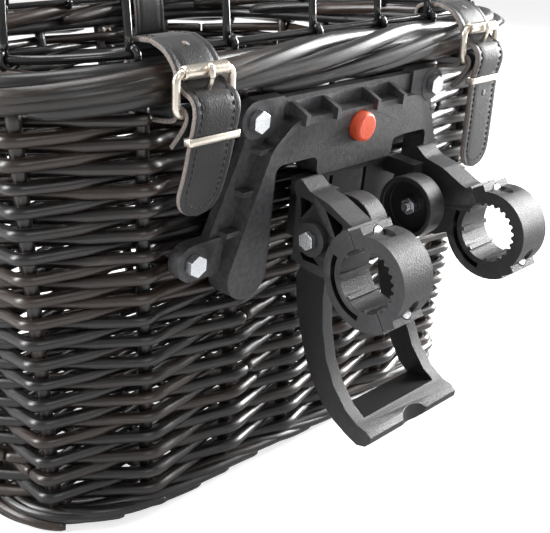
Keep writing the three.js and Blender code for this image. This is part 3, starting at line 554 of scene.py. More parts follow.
class Skin:
    """Collects faces and makes one object of them."""

    # how fast the streaks of the willow run along a rod, and round it
    ALONG = 28.0
    AROUND = 1.3
    SHEET_TONE = 0.5

    def __init__(self, seed: int = SEED) -> None:
        """Starts empty.

        Args:
            seed: seeds the tone of each rod.
        """
        self.random = random.Random(seed)
        self.points: list[np.ndarray] = []
        self.faces: list[np.ndarray] = []
        self.ends: list[list[int]] = []
        self.tones: list[np.ndarray] = []
        self.alongs: list[np.ndarray] = []
        self.count = 0

    def take(self, points: np.ndarray, quads: np.ndarray, tone: float, along: np.ndarray) -> int:
        """Stores a block of points and quads.

        Args:
            points: the block's points.
            quads: its faces, four point numbers in each row.
            tone: its tone, 0 to 1.
            along: texture places of the points.

        Returns:
            The number of its first point.
        """
        start = self.count
        self.points.append(points)
        self.faces.append(quads + start)
        self.tones.append(np.full(len(points), tone))
        self.alongs.append(along)
        self.count += len(points)
        return start

    @staticmethod
    def quads(rows: int, columns: int, closed: bool) -> np.ndarray:
        """Faces of a grid of points whose last column joins its first.

        Args:
            rows: rows of points.
            columns: columns of points.
            closed: whether the last row joins the first too.

        Returns:
            Point numbers, four in each row.
        """
        i, j = np.meshgrid(np.arange(rows if closed else rows - 1), np.arange(columns), indexing="ij")
        near, far = i * columns, (i + 1) % rows * columns
        k = (j + 1) % columns
        return np.stack([near + j, near + k, far + k, far + j], axis=-1).reshape(-1, 4)

    def cap(self, start: int, rows: int, columns: int) -> None:
        """Closes the first and the last row of a block with a face each."""
        self.ends.append([start + s for s in range(columns)][::-1])
        self.ends.append([start + (rows - 1) * columns + s for s in range(columns)])

    def tube(self, path: np.ndarray, radius: np.ndarray | float, sides: int = 8,
             up: Point | None = (0, 0, 1), tone: float | None = None, flat: float = 1.0,
             closed: bool = False) -> None:
        """Adds a round rod along a path.

        Args:
            path: points of the centre line, one per row.
            radius: one radius, or one for each point.
            sides: faces round the rod.
            up: the side that the section keeps towards, or None to carry it along.
            tone: 0 to 1; random if None.
            flat: thickness across `up` as a share of that along it.
            closed: whether the line is a ring.
        """
        path = np.asarray(path, dtype=float)
        count = len(path)
        if closed:
            ahead = np.roll(path, -1, axis=0) - np.roll(path, 1, axis=0)
        else:
            ahead = np.gradient(path, axis=0)
        ahead /= np.maximum(np.linalg.norm(ahead, axis=1, keepdims=True), 1e-12)
        if up is None:
            first = np.cross(ahead[0], (0.0, 0.0, 1.0))
            if np.linalg.norm(first) < 0.1:
                first = np.cross(ahead[0], (1.0, 0.0, 0.0))
            side = np.empty_like(path)
            side[0] = first / np.linalg.norm(first)
            for i in range(1, count):
                moved = side[i - 1] - ahead[i] * np.dot(side[i - 1], ahead[i])
                side[i] = moved / np.linalg.norm(moved)
        else:
            side = np.cross(ahead, np.asarray(up, dtype=float))
            side /= np.maximum(np.linalg.norm(side, axis=1, keepdims=True), 1e-9)
        lift = np.cross(side, ahead)
        turn = np.linspace(0.0, math.tau, sides, endpoint=False)
        size = np.broadcast_to(np.asarray(radius, dtype=float), (count,))[:, None, None]
        c, s = np.cos(turn)[None, :, None], np.sin(turn)[None, :, None]
        ring = side[:, None, :] * c * flat + lift[:, None, :] * s
        points = (path[:, None, :] + ring * size).reshape(-1, 3)
        walked = np.concatenate([[0.0], np.cumsum(np.linalg.norm(np.diff(path, axis=0), axis=1))])
        shift = self.random.random() * 90.0
        along = np.empty((count, sides, 3))
        along[:, :, 0] = walked[:, None] * self.ALONG + shift
        along[:, :, 1] = np.cos(turn)[None, :] * self.AROUND + shift
        along[:, :, 2] = np.sin(turn)[None, :] * self.AROUND
        quads = self.quads(count, sides, closed)
        tone = self.random.random() if tone is None else tone
        start = self.take(points, quads, tone, along.reshape(-1, 3))
        if not closed:
            self.cap(start, count, sides)

    def sheet(self, grid: np.ndarray, closed: bool = False) -> None:
        """Adds a grid of quads whose last column joins its first.

        Args:
            grid: points as rows by columns by 3.
            closed: whether the last row joins the first too.
        """
        rows, columns = grid.shape[:2]
        points = grid.reshape(-1, 3)
        start = self.take(points, self.quads(rows, columns, closed), self.SHEET_TONE, points * self.ALONG)
        if not closed:
            self.cap(start, rows, columns)

    def make(self, name: str, material: bpy.types.Material) -> bpy.types.Object:
        """Makes the object. Its quads are shaded smooth and its end caps flat.

        Args:
            name: the object's name.
            material: its material.

        Returns:
            The object, in the scene.
        """
        points = np.concatenate(self.points)
        quads = np.concatenate(self.faces)
        loops = np.concatenate([quads.ravel()] + [np.asarray(end) for end in self.ends])
        totals = np.concatenate([np.full(len(quads), 4), [len(end) for end in self.ends]]).astype(int)
        mesh = bpy.data.meshes.new(name)
        mesh.vertices.add(len(points))
        mesh.vertices.foreach_set("co", points.ravel())
        mesh.loops.add(len(loops))
        mesh.loops.foreach_set("vertex_index", loops.astype(np.int32))
        mesh.polygons.add(len(totals))
        starts = np.concatenate([[0], np.cumsum(totals)[:-1]]).astype(np.int32)
        mesh.polygons.foreach_set("loop_start", starts)
        mesh.polygons.foreach_set("use_smooth", totals == 4)
        mesh.update(calc_edges=True)
        tone = mesh.attributes.new("tone", "FLOAT", "POINT")
        tone.data.foreach_set("value", np.concatenate(self.tones))
        along = mesh.attributes.new("along", "FLOAT_VECTOR", "POINT")
        along.data.foreach_set("vector", np.concatenate(self.alongs).ravel())
        mesh.validate()
        mesh.materials.append(material)
        return add_object(name, mesh)


def join_frame(piece: bpy.types.Object, body: str, slot: Slot, *nodes: str) -> bpy.types.Object:
    """Ties a piece to its body, hides the nodes that it stands for and logs it.

    Args:
        piece: the piece, in place.
        body: the body that it rides.
        slot: its material slot; not used.
        nodes: the nodes that it replaces.

    Returns:
        The piece.
    """
    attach(piece, body)
    if nodes:
        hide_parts(*nodes)
    log.info("%s: %d faces, body %s, stands for %s", piece.name, len(piece.data.polygons), body,
             ", ".join(nodes) or "nothing")
    return piece


@dataclass(frozen=True)
class Hole:
    """A place on the wall that rods keep clear of: a box in width and height on one side."""

    side: str
    middle: float
    half: float
    low: float
    high: float
    end_depth: float = 0.10
    side_depth: float = 0.15

    def holds(self, x: np.ndarray, y: np.ndarray, z: np.ndarray) -> np.ndarray:
        """Which points lie in the hole.

        Args:
            x: X of the points.
            y: Y of the points.
            z: Z of the points.

        Returns:
            A mask.
        """
        across, out = (x, y) if self.side in ("front", "back") else (y, x)
        sign = 1.0 if self.side in ("front", "right") else -1.0
        deep = self.end_depth if self.side in ("front", "back") else self.side_depth
        return ((np.abs(across - self.middle) < self.half) & (out * sign > deep)
                & (z > self.low) & (z < self.high))


@dataclass
class WickerWall:
    """The tapered wall: upright stakes with single rods woven in front of one and behind the next."""

    material: bpy.types.Material
    plan: Plan = field(default_factory=Plan)
    stakes: int = 24
    steps: int = 1100
    inset: float = 0.006
    sway: float = 0.0072
    wobble: float = 0.0007
    rod: float = 0.00360
    rod_spread: tuple[float, float] = (0.93, 1.06)
    bend_spread: tuple[float, float] = (0.94, 1.04)
    taper: tuple[float, ...] = (0.75, 0.9, 0.98)
    first_join: tuple[int, int] = (60, 300)
    next_join: tuple[int, int] = (300, 440)
    shortest: int = 6
    stake: float = 0.0040
    lean: float = 0.004
    phase: float = 0.65
    rows: int = 36
    low: float = 0.0168
    high: float = 0.2372
    stake_below: float = 0.006
    stake_above: float = 0.012
    bare_stake: float = 0.0031
    holes: tuple[Hole, ...] = ()
    calm_half: float = 0.128
    calm_low: float = 0.125
    calm_high: float = 0.241
    calm_from_y: float = -0.12
    calm_side: float = 0.012
    calm_edge: float = 0.008
    calm_share: float = 0.42
    calm_in: float = 0.0022

    def surface(self, turn: np.ndarray, z: np.ndarray, out: np.ndarray) -> np.ndarray:
        """Points beside the wall's middle face, drawn in flatter behind the bracket.

        Args:
            turn: turns about the middle of the plan.
            z: heights.
            out: distances outwards from the middle face.

        Returns:
            The points.
        """
        first = self.faceted(turn, z, out)
        near = np.clip((self.calm_half - np.abs(first[:, 0])) / self.calm_side + 1, 0.0, 1.0)
        near *= np.clip((z - self.calm_low) / self.calm_edge + 1, 0.0, 1.0)
        near *= np.clip((self.calm_high - z) / self.calm_edge + 1, 0.0, 1.0)
        near = np.where(first[:, 1] < self.calm_from_y, near, 0.0)
        return self.faceted(turn, z, out * (1 - self.calm_share * near) - self.calm_in * near)

    def faceted(self, turn: np.ndarray, z: np.ndarray, out: np.ndarray) -> np.ndarray:
        """Points beside the wall's middle face, which runs straight from stake to stake.

        Args:
            turn: turns about the middle of the plan.
            z: heights.
            out: distances outwards from the middle face.

        Returns:
            The points.
        """
        place = turn / math.tau * self.stakes - self.phase
        before = np.floor(place + 1e-9)
        share = place - before
        ends = []
        for level in (0.0, self.plan.height):
            loop = self.plan.loop(self.plan.half(level, self.inset))
            for stake in (before, before + 1):
                at = loop.share_at(np.mod((stake + self.phase) / self.stakes * math.tau, math.tau))
                ends.append(np.stack(loop.at(at, out), axis=-1))
        low = ends[0] + (ends[1] - ends[0]) * share[:, None]
        high = ends[2] + (ends[3] - ends[2]) * share[:, None]
        up = np.clip(z / self.plan.height, 0.0, 1.02)
        return np.column_stack([low + (high - low) * up[:, None], z])

    def stake_turns(self) -> np.ndarray:
        """Where the stakes stand, as turns about the middle."""
        return (np.arange(self.stakes) + self.phase) / self.stakes * math.tau

    def rod_paths(self) -> Iterable[tuple[np.ndarray, float]]:
        """Centre lines of the rods, level by level, cut at the holes.

        Yields:
            A path and its radius.
        """
        dice = random.Random(SEED)
        share = np.arange(self.steps + 1) / self.steps
        loop = self.plan.loop(self.plan.half(self.plan.height / 2, self.inset))
        turn = np.interp(share, loop.walked / loop.length, loop.turn)
        place = turn / math.tau * self.stakes
        pitch = (self.high - self.low) / self.rows
        for level in range(self.rows + 1):
            z0 = self.low + level * pitch
            side = 1.0 if level % 2 else -1.0
            angle = (place - self.phase + 0.5) * math.pi
            # the first three terms of a triangle wave, brought to a height of one
            wave = (np.sin(angle) - np.sin(3 * angle) / 9 + np.sin(5 * angle) / 25) / 1.151
            knots = np.array([dice.uniform(-1, 1) for _ in range(self.stakes * 2 + 1)])
            knots[-1] = knots[0]
            wobble = np.interp(place * 2, np.arange(self.stakes * 2 + 1), knots)
            z = z0 + wobble * self.wobble
            out = side * wave * self.sway
            points = self.soften(self.surface(turn, z, out))
            radius = self.rod * dice.uniform(*self.rod_spread)
            closed_here = np.zeros(len(points), dtype=bool)
            for hole in self.holes:
                closed_here |= hole.holds(points[:, 0], points[:, 1], np.full(len(points), z0))
            # a rod runs past six to nine stakes, then the next one is laid in
            joins = set()
            spot = dice.randrange(*self.first_join)
            while spot < self.steps:
                joins.add(spot)
                spot += dice.randrange(*self.next_join)
            run: list[int] = []
            for index in range(self.steps + 1):
                if closed_here[index] or index in joins:
                    if len(run) > self.shortest:
                        yield points[run], radius
                    run = [] if closed_here[index] else [index]
                    if index in joins:
                        radius = self.rod * dice.uniform(*self.rod_spread)
                else:
                    run.append(index)
            if len(run) > self.shortest:
                yield points[run], radius

    @staticmethod
    def soften(points: np.ndarray, reach: int = 4) -> np.ndarray:
        """Rounds the bends of a closed line whose last point repeats its first.

        Args:
            points: the line.
            reach: how many points each side share in a bend.

        Returns:
            The rounded line.
        """
        ring = points[:-1]
        around = np.concatenate([ring[-reach:], ring, ring[:reach]])
        even = np.ones(2 * reach + 1) / (2 * reach + 1)
        eased = np.column_stack([np.convolve(around[:, axis], even, mode="valid") for axis in range(3)])
        return np.concatenate([eased, eased[:1]])

    def build(self) -> bpy.types.Object:
        """Builds the woven wall.

        Returns:
            The wall, tied to its body.
        """
        skin = Skin()
        dice = random.Random(SEED + 1)
        for path, radius in self.rod_paths():
            size = np.full(len(path), radius * dice.uniform(*self.bend_spread))
            size[:3] *= self.taper
            size[-3:] *= self.taper[::-1]
            skin.tube(path, size)
        levels = np.linspace(self.low - self.stake_below, self.high + self.stake_above, 24)
        for turn in self.stake_turns():
            lean = dice.uniform(-self.lean, self.lean)
            path = self.surface(np.full_like(levels, turn + lean), levels, np.zeros_like(levels))
            skin.tube(path, self.stake, up=(0.3, 0.7, 0.0))
        self.hand_hold_stakes(skin)
        return join_frame(skin.make("woven_wall", self.material), "basket", Slot.WILLOW, "wicker_wall")

    def hand_hold_stakes(self, skin: Skin) -> None:
        """Adds the two bare stakes in each hand hold.

        Args:
            skin: takes the stakes.
        """
        for hole in self.holes:
            if hole.side not in ("left", "right"):
                continue
            sign = 1.0 if hole.side == "right" else -1.0
            for shift in (-1 / 3, 1 / 3):
                y = hole.middle + shift * hole.half
                levels = np.linspace(hole.low - 0.03, hole.high + 0.008, 12)
                halves = [self.plan.half(z, self.inset) for z in levels]
                path = np.array([(sign * half[0], y, z) for half, z in zip(halves, levels)])
                skin.tube(path, self.bare_stake, sides=10, up=(0.0, 1.0, 0.0))


@dataclass(frozen=True)
class BorderShape:
    """A border's section: thick rods wound round a core as they run along the rim."""

    name: str
    node: str
    half: tuple[float, float]
    middle: float
    reach_out: float
    reach_up: float
    rods: int
    rod: float
    run: float
    start: float
    turn: float
    step_ends: bool = False


@dataclass
class Border:
    """A plaited border: each rod winds part of a turn round the core as it runs on."""

    material: bpy.types.Material
    shape: BorderShape
    plan: Plan = field(default_factory=Plan)
    steps: int = 46
    place_spread: float = 0.003
    run_spread: tuple[float, float] = (0.94, 1.06)
    start_spread: float = 0.34
    turn_spread: tuple[float, float] = (0.84, 1.14)
    rod_spread: tuple[float, float] = (0.9, 1.08)
    sway: float = 0.22
    swell: float = 0.12
    core_steps: int = 360
    core_rod: float = 0.52

    def build(self) -> bpy.types.Object:
        """Builds the border.

        Returns:
            The border, tied to its body.
        """
        shape = self.shape
        dice = random.Random(SEED + len(shape.name))
        skin = Skin(SEED + 3)
        loop = Loop(shape.half, self.plan.power, self.plan.steps)
        reach = shape.run / loop.length
        along = np.linspace(0.0, 1.0, self.steps)
        for number in range(shape.rods):
            start = number / shape.rods + dice.uniform(-self.place_spread, self.place_spread)
            share = start + along * reach * dice.uniform(*self.run_spread)
            lead = shape.start + dice.uniform(-self.start_spread, self.start_spread)
            twist = shape.turn * dice.uniform(*self.turn_spread)
            angle = lead + twist * along + self.sway * np.sin(along * 7.0 + dice.uniform(0, 6))
            ease = 1.0 + self.swell * np.sin(along * 6.0 + dice.uniform(0, 6))
            out = np.cos(angle) * shape.reach_out * ease
            up = np.sin(angle) * shape.reach_up * ease
            size = np.full(self.steps, shape.rod * dice.uniform(*self.rod_spread))
            if shape.step_ends:
                size[-1] *= 0.85
            else:
                size[:2] *= (0.6, 0.85)
                size[-2:] *= (0.85, 0.6)
            skin.tube(loop.path(share, shape.middle + up, out), size, sides=12, up=None)
        self.core(skin, loop)
        return join_frame(skin.make(shape.name, self.material), "basket", Slot.WILLOW, shape.node)

    def core(self, skin: Skin, loop: Loop) -> None:
        """Adds the core rods that the border is wound round. They take the darkest tone, so the gaps between
        the wound rods show painted shade.

        Args:
            skin: takes the rods.
            loop: the border's middle line.
        """
        shape = self.shape
        share = np.linspace(0.0, 1.0, self.core_steps, endpoint=False)
        radius = min(shape.reach_out, shape.reach_up) * self.core_rod
        for out, up in ((0.35, -0.35), (-0.35, -0.35), (0.3, 0.3), (-0.3, 0.3), (0.0, 0.0)):
            path = loop.path(share, shape.middle + up * shape.reach_up, out * shape.reach_out)
            # tone 0 gives the core the darkest willow colour: painted shade in the gaps between the wound
            # rods
            skin.tube(path, radius, closed=True, tone=0.0)


@dataclass
class BasketBase:
    """The floor: sticks across, with rods woven round them."""

    material: bpy.types.Material
    half: tuple[float, float] = (0.1755, 0.1145)
    power: float = 5.5
    sticks: int = 12
    spread: float = 0.93
    weavers: int = 34
    middle: float = 0.0052
    rod: float = 0.0026
    sway: float = 0.0021
    edge: float = 0.003

    def build(self) -> bpy.types.Object:
        """Builds the floor.

        Returns:
            The floor, tied to its body.
        """
        skin = Skin(SEED + 5)
        dice = random.Random(SEED + 6)
        spots = np.linspace(-self.half[0] * self.spread, self.half[0] * self.spread, self.sticks)
        for x in spots:
            reach = self.half[1] * (1 - abs(x / self.half[0]) ** self.power) ** (1 / self.power)
            path = np.array([(x, y, self.middle) for y in np.linspace(-reach, reach, 12)])
            skin.tube(path, self.rod)
        for number in range(self.weavers):
            y = -self.half[1] + (number + 0.5) * 2 * self.half[1] / self.weavers
            reach = self.half[0] * (1 - abs(y / self.half[1]) ** self.power) ** (1 / self.power)
            x = np.linspace(-reach, reach, 150)
            pitch = spots[1] - spots[0]
            wave = np.cos((x - spots[0]) / pitch * math.pi) * (1 if number % 2 else -1)
            z = self.middle + wave * self.sway
            path = np.stack([x, np.full_like(x, y) + dice.uniform(-0.0004, 0.0004), z], axis=-1)
            skin.tube(path, self.rod * dice.uniform(0.92, 1.05), up=(0, 1, 0))
        rim = Loop((self.half[0] - self.edge, self.half[1] - self.edge), self.power, 720)
        skin.tube(rim.path(np.linspace(0, 1, 300, endpoint=False), self.middle), self.edge, closed=True)
        return join_frame(skin.make("woven_floor", self.material), "basket", Slot.WILLOW, "basket_base")


@dataclass
class CageLid:
    """The domed cage: a ring wire and crossing wires whose feet are hooked round the ring."""

    material: bpy.types.Material
    half: tuple[float, float] = (0.1995, 0.152)
    ring_z: float = 0.26655
    height: float = 0.162
    wire: float = 0.00225
    power: float = 5.5
    dome: float = 2.7
    lower: float = 0.0026
    lower_over: float = 0.02
    cross_shares: tuple[float, ...] = (-0.712, -0.403, -0.065, 0.232, 0.492, 0.79)
    long_shares: tuple[float, ...] = (-0.76, -0.27, 0.27, 0.76)

    def height_at(self, x: np.ndarray, y: np.ndarray) -> np.ndarray:
        """Height of the dome over points.

        Args:
            x: X of the points.
            y: Y of the points.

        Returns:
            The heights.
        """
        out = np.abs(x / self.half[0]) ** self.power + np.abs(y / self.half[1]) ** self.power
        rise = np.maximum(1 - out ** (self.dome / self.power), 0) ** (1 / self.dome)
        return self.ring_z + self.height * rise

    def rib(self, share: float, along_x: bool) -> np.ndarray:
        """Centre line of one wire.

        Args:
            share: its place as a share of the ring's half size.
            along_x: whether it runs along X.

        Returns:
            The line's points, foot to foot.
        """
        own, other = (1, 0) if along_x else (0, 1)
        reach = self.half[other] * (1 - abs(share) ** self.power) ** (1 / self.power)
        turn = np.linspace(0.0, math.pi, 97)
        swing = np.sign(np.cos(turn)) * np.abs(np.cos(turn)) ** (2 / self.power) * reach
        fixed = np.full_like(swing, share * self.half[own])
        x, y = (swing, fixed) if along_x else (fixed, swing)
        z = self.height_at(x, y)
        if along_x:
            # the long wires pass under the cross wires
            z = z - np.clip((z - self.ring_z) / self.lower_over, 0.0, 1.0) * self.lower
        return np.stack([x, y, z], axis=-1)

    def hook(self, foot: np.ndarray, inward: np.ndarray) -> np.ndarray:
        """A foot's turn round the ring wire.

        Args:
            foot: where the wire reaches the ring.
            inward: level direction to the basket's middle.

        Returns:
            The turn's centre line.
        """
        side = np.cross(inward, (0.0, 0.0, 1.0))
        turn = np.linspace(0.15, 1.62, 16) * math.pi
        reach = self.wire * 1.9
        return np.array([foot + inward * math.sin(a) * -reach + np.array((0, 0, 1.0)) * math.cos(a) * reach
                         + side * (a / math.pi) * self.wire * 1.3 for a in turn])

    def build(self) -> bpy.types.Object:
        """Builds the lid.

        Returns:
            The lid, tied to its body.
        """
        skin = Skin(SEED + 8)
        ring = Loop(self.half, self.power, 720)
        path = ring.path(np.linspace(0, 1, 420, endpoint=False), self.ring_z)
        skin.tube(path, self.wire * 1.04, sides=12, closed=True)
        for shares, along_x in ((self.cross_shares, False), (self.long_shares, True)):
            for place in shares:
                path = self.rib(place, along_x)
                skin.tube(path, self.wire * 0.96, sides=12, up=None)
                for foot in (path[0], path[-1]):
                    inward = np.zeros(3)
                    axis = 0 if along_x else 1
                    inward[axis] = -np.sign(foot[axis])
                    skin.tube(self.hook(foot, inward), self.wire * 0.9, sides=10, up=None)
        return join_frame(skin.make("wire_cage", self.material), "lid", Slot.WIRE, "cage_lid")


@dataclass(frozen=True)
class BeltSizes:
    """Sizes that the four belts share, as in the model."""

    left_x: float = -0.124
    right_x: float = 0.116
    width: float = 0.030
    inner_width: float = 0.0325
    thick: float = 0.0025
    bar_out: float = 0.179181
    bar_z: float = 0.240
    bar: float = 0.002
    roller_out: float = 0.180681
    roller_z: float = 0.260
    roller: float = 0.0035
    roller_length: float = 0.029
    keeper_out: float = 0.184281
    keeper_z: float = 0.228
    inside: float = 0.140084
    slot_z: float = 0.23595
    ring_top: float = 0.27225
    chape: float = 0.00355
    behind_roller: tuple[float, float] = (0.1712, 0.2674)
    crest: float = 0.0136
    tip: float = 0.015
    first_hole: float = 0.0086
    low_hole: float = 0.0696
    thread: float = 0.00038
    prong: float = 0.00125


# a strap's section, as shares of its half width and half thickness, and the columns of its cut edges
STRAP_SECTION = (
    (-0.97, 1.0), (-0.90, 1.04), (-0.78, 1.08), (-0.74, 0.93), (-0.70, 1.08), (-0.4, 1.12), (0.0, 1.14),
    (0.4, 1.12), (0.70, 1.08), (0.74, 0.93), (0.78, 1.08), (0.90, 1.04), (0.97, 1.0), (1.0, 0.72),
    (1.0, 0.0), (1.0, -0.72), (0.97, -1.0), (0.5, -1.0), (-0.5, -1.0), (-0.97, -1.0), (-1.0, -0.72),
    (-1.0, 0.0), (-1.0, 0.72))
CUT_COLUMNS = (12, 13, 14, 15, 19, 20, 21, 22)
LEATHER, RAW, THREAD = 0, 1, 2


class Band:
    """A strap's middle line in its own upright plane, walked by distance."""

    ROUNDS = 3
    STEP = 0.0012

    def __init__(self, route: Sequence[tuple[float, float]]) -> None:
        """Lays the line out and rounds its corners.

        Args:
            route: (out, z) corners.
        """
        line = np.asarray(route, dtype=float)
        for _ in range(self.ROUNDS):
            near = line[:-1] * 0.75 + line[1:] * 0.25
            far = line[:-1] * 0.25 + line[1:] * 0.75
            middle = np.stack([near, far], axis=1).reshape(-1, 2)
            line = np.concatenate([line[:1], middle, line[-1:]])
        walked = np.concatenate([[0.0], np.cumsum(np.hypot(*np.diff(line, axis=0).T))])
        self.length = float(walked[-1])
        self.walked = np.linspace(0.0, self.length, max(int(self.length / self.STEP), 8))
        self.out = np.interp(self.walked, walked, line[:, 0])
        self.z = np.interp(self.walked, walked, line[:, 1])
        ahead = np.stack([np.gradient(self.out), np.gradient(self.z)], axis=-1)
        ahead /= np.linalg.norm(ahead, axis=1, keepdims=True)
        self.normal = np.stack([-ahead[:, 1], ahead[:, 0]], axis=-1)

    def spot(self, distance: np.ndarray, lift: np.ndarray | float) -> tuple[np.ndarray, np.ndarray]:
        """Places beside the band's middle line.

        Args:
            distance: distances along the band.
            lift: how far off its middle.

        Returns:
            Distances out from the basket's middle, and heights.
        """
        out, z, level, upright = (np.interp(distance, self.walked, values) for values in (
            self.out, self.z, self.normal[:, 0], self.normal[:, 1]))
        return out + level * lift, z + upright * lift


@dataclass
class Belt:
    """One of the four straps with its roller buckle and keeper."""

    end: str
    side: str
    tip_z: float
    tip_lean: float
    leather: bpy.types.Material
    raw: bpy.types.Material
    thread: bpy.types.Material
    metal: bpy.types.Material
    sizes: BeltSizes = field(default_factory=BeltSizes)

    def __post_init__(self) -> None:
        """Works out where the belt stands."""
        self.way = -1.0 if self.end == "back" else 1.0
        self.x = self.sizes.left_x if self.side == "left" else self.sizes.right_x
        self.name = f"{self.end}_{self.side}"

    def world(self, across: np.ndarray, out: np.ndarray, z: np.ndarray) -> np.ndarray:
        """Points in the basket's own axes."""
        across, out, z = np.broadcast_arrays(across, out, z)
        return np.stack([self.x + across, self.way * out, z], axis=-1)

    def crest(self) -> list[tuple[float, float]]:
        """Over the ring and the rim's top."""
        return [(0.159, self.sizes.ring_top + 0.0015), (0.1672, 0.2706)]

    def outer_route(self) -> list[tuple[float, float]]:
        """From behind the roller, over the front of the buckle and down to the tip.

        Returns:
            (out, z) corners.
        """
        s = self.sizes
        start = self.crest() if self.end == "back" else []
        return [*start, s.behind_roller, (0.1757, 0.2615), (0.1760, 0.2565), (0.1795, 0.2515),
                (0.1868, 0.2485), (0.1888, 0.2425), (0.1866, 0.2345), (s.keeper_out, s.keeper_z),
                (s.keeper_out - self.tip_lean * 0.36, (s.keeper_z + self.tip_z) / 2 + 0.004),
                (s.keeper_out - self.tip_lean * 0.75, self.tip_z + 0.012),
                (s.keeper_out - self.tip_lean, self.tip_z)]

    def inner_route(self) -> list[tuple[float, float]]:
        """From the bottom bar through the wall, up inside and over the ring.

        Returns:
            (out, z) corners.
        """
        s = self.sizes
        return [(s.bar_out - s.chape, s.bar_z), (s.bar_out - s.chape - 0.0003, s.slot_z + 0.0035),
                (s.bar_out - s.chape - 0.003, s.slot_z), (s.inside + 0.0025, s.slot_z),
                (s.inside, s.slot_z + 0.0025), (s.inside, 0.2665), (s.inside + 0.0025, s.ring_top + 0.0015),
                *(self.crest()[:1] if self.end == "back" else [*self.crest(), s.behind_roller])]

    def chape_route(self) -> list[tuple[float, float]]:
        """The folded end round the bottom bar.

        Returns:
            (out, z) corners.
        """
        s = self.sizes
        c = s.chape
        slant = c * math.sqrt(0.5)
        return [(s.bar_out - 0.0088, s.bar_z - 0.0165), (s.bar_out - 0.001, s.bar_z - 0.0085),
                (s.bar_out + c - 0.0006, s.bar_z - 0.003),
                (s.bar_out + c, s.bar_z), (s.bar_out + slant, s.bar_z + slant), (s.bar_out, s.bar_z + c),
                (s.bar_out - slant, s.bar_z + slant), (s.bar_out - c, s.bar_z)]

    def strap(self, label: str, band: Band, tip: float, stitched: tuple[float, float],
              punched: tuple[float, ...] = ()) -> bpy.types.Object:
        """One run of strap with its stitches and punched holes.

        Args:
            label: the piece's name.
            band: its middle line.
            tip: length of the rounded tip, or zero.
            stitched: distances between which it is sewn.
            punched: distances of the punched holes.

        Returns:
            The piece.
        """
        s = self.sizes
        sign = -1.0 if band.normal[-1, 0] < 0 else 1.0
        rows = band.walked
        wide = np.full(len(rows), s.width / 2)
        if tip:
            near = np.clip((rows - (band.length - tip)) / tip, 0.0, 0.999)
            wide *= (1 - near ** 2.2) ** (1 / 2.2)
        grid = np.empty((len(rows), len(STRAP_SECTION), 3))
        for column, (place, deep) in enumerate(STRAP_SECTION):
            out, z = band.spot(rows, sign * deep * s.thick / 2)
            grid[:, column] = self.world(place * wide, out, z)
        cut = np.isin(np.arange(len(STRAP_SECTION)), CUT_COLUMNS)
        if self.way * sign < 0:
            grid = grid[:, ::-1]
            cut = np.roll(cut[::-1], -1)
        skin = Skin(SEED + 20)
        skin.sheet(grid)
        piece = skin.make(label, self.leather)
        piece.data.materials.append(self.raw)
        piece.data.materials.append(self.thread)
        marks = np.concatenate([np.tile(cut, len(rows) - 1), [True, True]])
        piece.data.polygons.foreach_set("material_index", np.where(marks, RAW, LEATHER).astype(np.int32))
        self.sew(piece, band, sign, tip, stitched)
        for distance in punched:
            self.punch(piece, band, sign, distance)
        return piece

    def punch(self, piece: bpy.types.Object, band: Band, sign: float, distance: float) -> None:
        """Adds a punched hole in paint: a dark rim of painted shade round a pale middle that is a painted
        glint.

        Args:
            piece: the strap.
            band: its middle line.
            sign: which side faces outwards.
            distance: how far along the band it lies.
        """
        face = self.sizes.thick / 2 * max(deep for _, deep in STRAP_SECTION)
        # the dark thread-coloured disc is painted shade in the hole; the smaller pale disc on it is a painted
        # glint
        for mark, wide, lift in ((THREAD, 0.0023, 0.00004), (RAW, 0.0018, 0.00010)):
            out, z = band.spot(distance, sign * (face + np.array([-0.0006, lift, lift + 0.00001])))
            skin = Skin(SEED + 22)
            # the last ring is all but shut, so that it makes a face
            skin.tube(self.world(0.0, out, z), wide * np.array([1.0, 1.0, 0.01]), sides=18, up=(1, 0, 0))
            merge(piece, skin.make(f"{piece.name}_hole", self.thread), mark)

    def stitch(self, skin: Skin, band: Band, sign: float, across: np.ndarray | float,
               spots: np.ndarray) -> None:
        """Adds one stitch, whose ends dip into the strap.

        Args:
            skin: takes the stitch.
            band: the strap's middle line.
            sign: which side faces outwards.
            across: places across the strap.
            spots: five distances along the band.
        """
        lift = self.sizes.thick / 2 * 0.98 + np.array([-0.0004, 0.00015, 0.0002, 0.00015, -0.0004])
        out, z = band.spot(spots, sign * lift)
        skin.tube(self.world(across, out, z), self.sizes.thread, sides=5, up=(1, 0, 0))

    def sew(self, piece: bpy.types.Object, band: Band, sign: float, tip: float,
            stitched: tuple[float, float]) -> None:
        """Joins the stitches to a strap.

        Args:
            piece: the strap.
            band: its middle line.
            sign: which side faces outwards.
            tip: length of the rounded tip, or zero.
            stitched: distances between which it is sewn.
        """
        inset, pitch, stitch = 0.0045, 0.0036, 0.0026
        reach = self.sizes.width / 2 - inset
        first, last = stitched
        skin = Skin(SEED + 21)
        for start in np.arange(first, last - tip, pitch):
            for across in (-reach, reach):
                self.stitch(skin, band, sign, across, start + np.linspace(0.0, stitch, 5))
        if tip:
            for start in np.arange(0.0, math.pi, pitch / reach):
                turn = start + np.linspace(0.0, stitch / reach, 5)
                spots = band.length - tip + (tip - inset) * np.sin(turn)
                self.stitch(skin, band, sign, reach * np.cos(turn), spots)
        merge(piece, skin.make(f"{piece.name}_thread", self.thread), THREAD)

    def metal_piece(self, skin: Skin, part: str, body: str) -> bpy.types.Object:
        """Makes a metal piece of the belt and ties it to its body."""
        piece = skin.make(f"{self.name}_{part}_look", self.metal)
        return join_frame(piece, body, Slot.NICKEL, f"{self.name}_{part}")

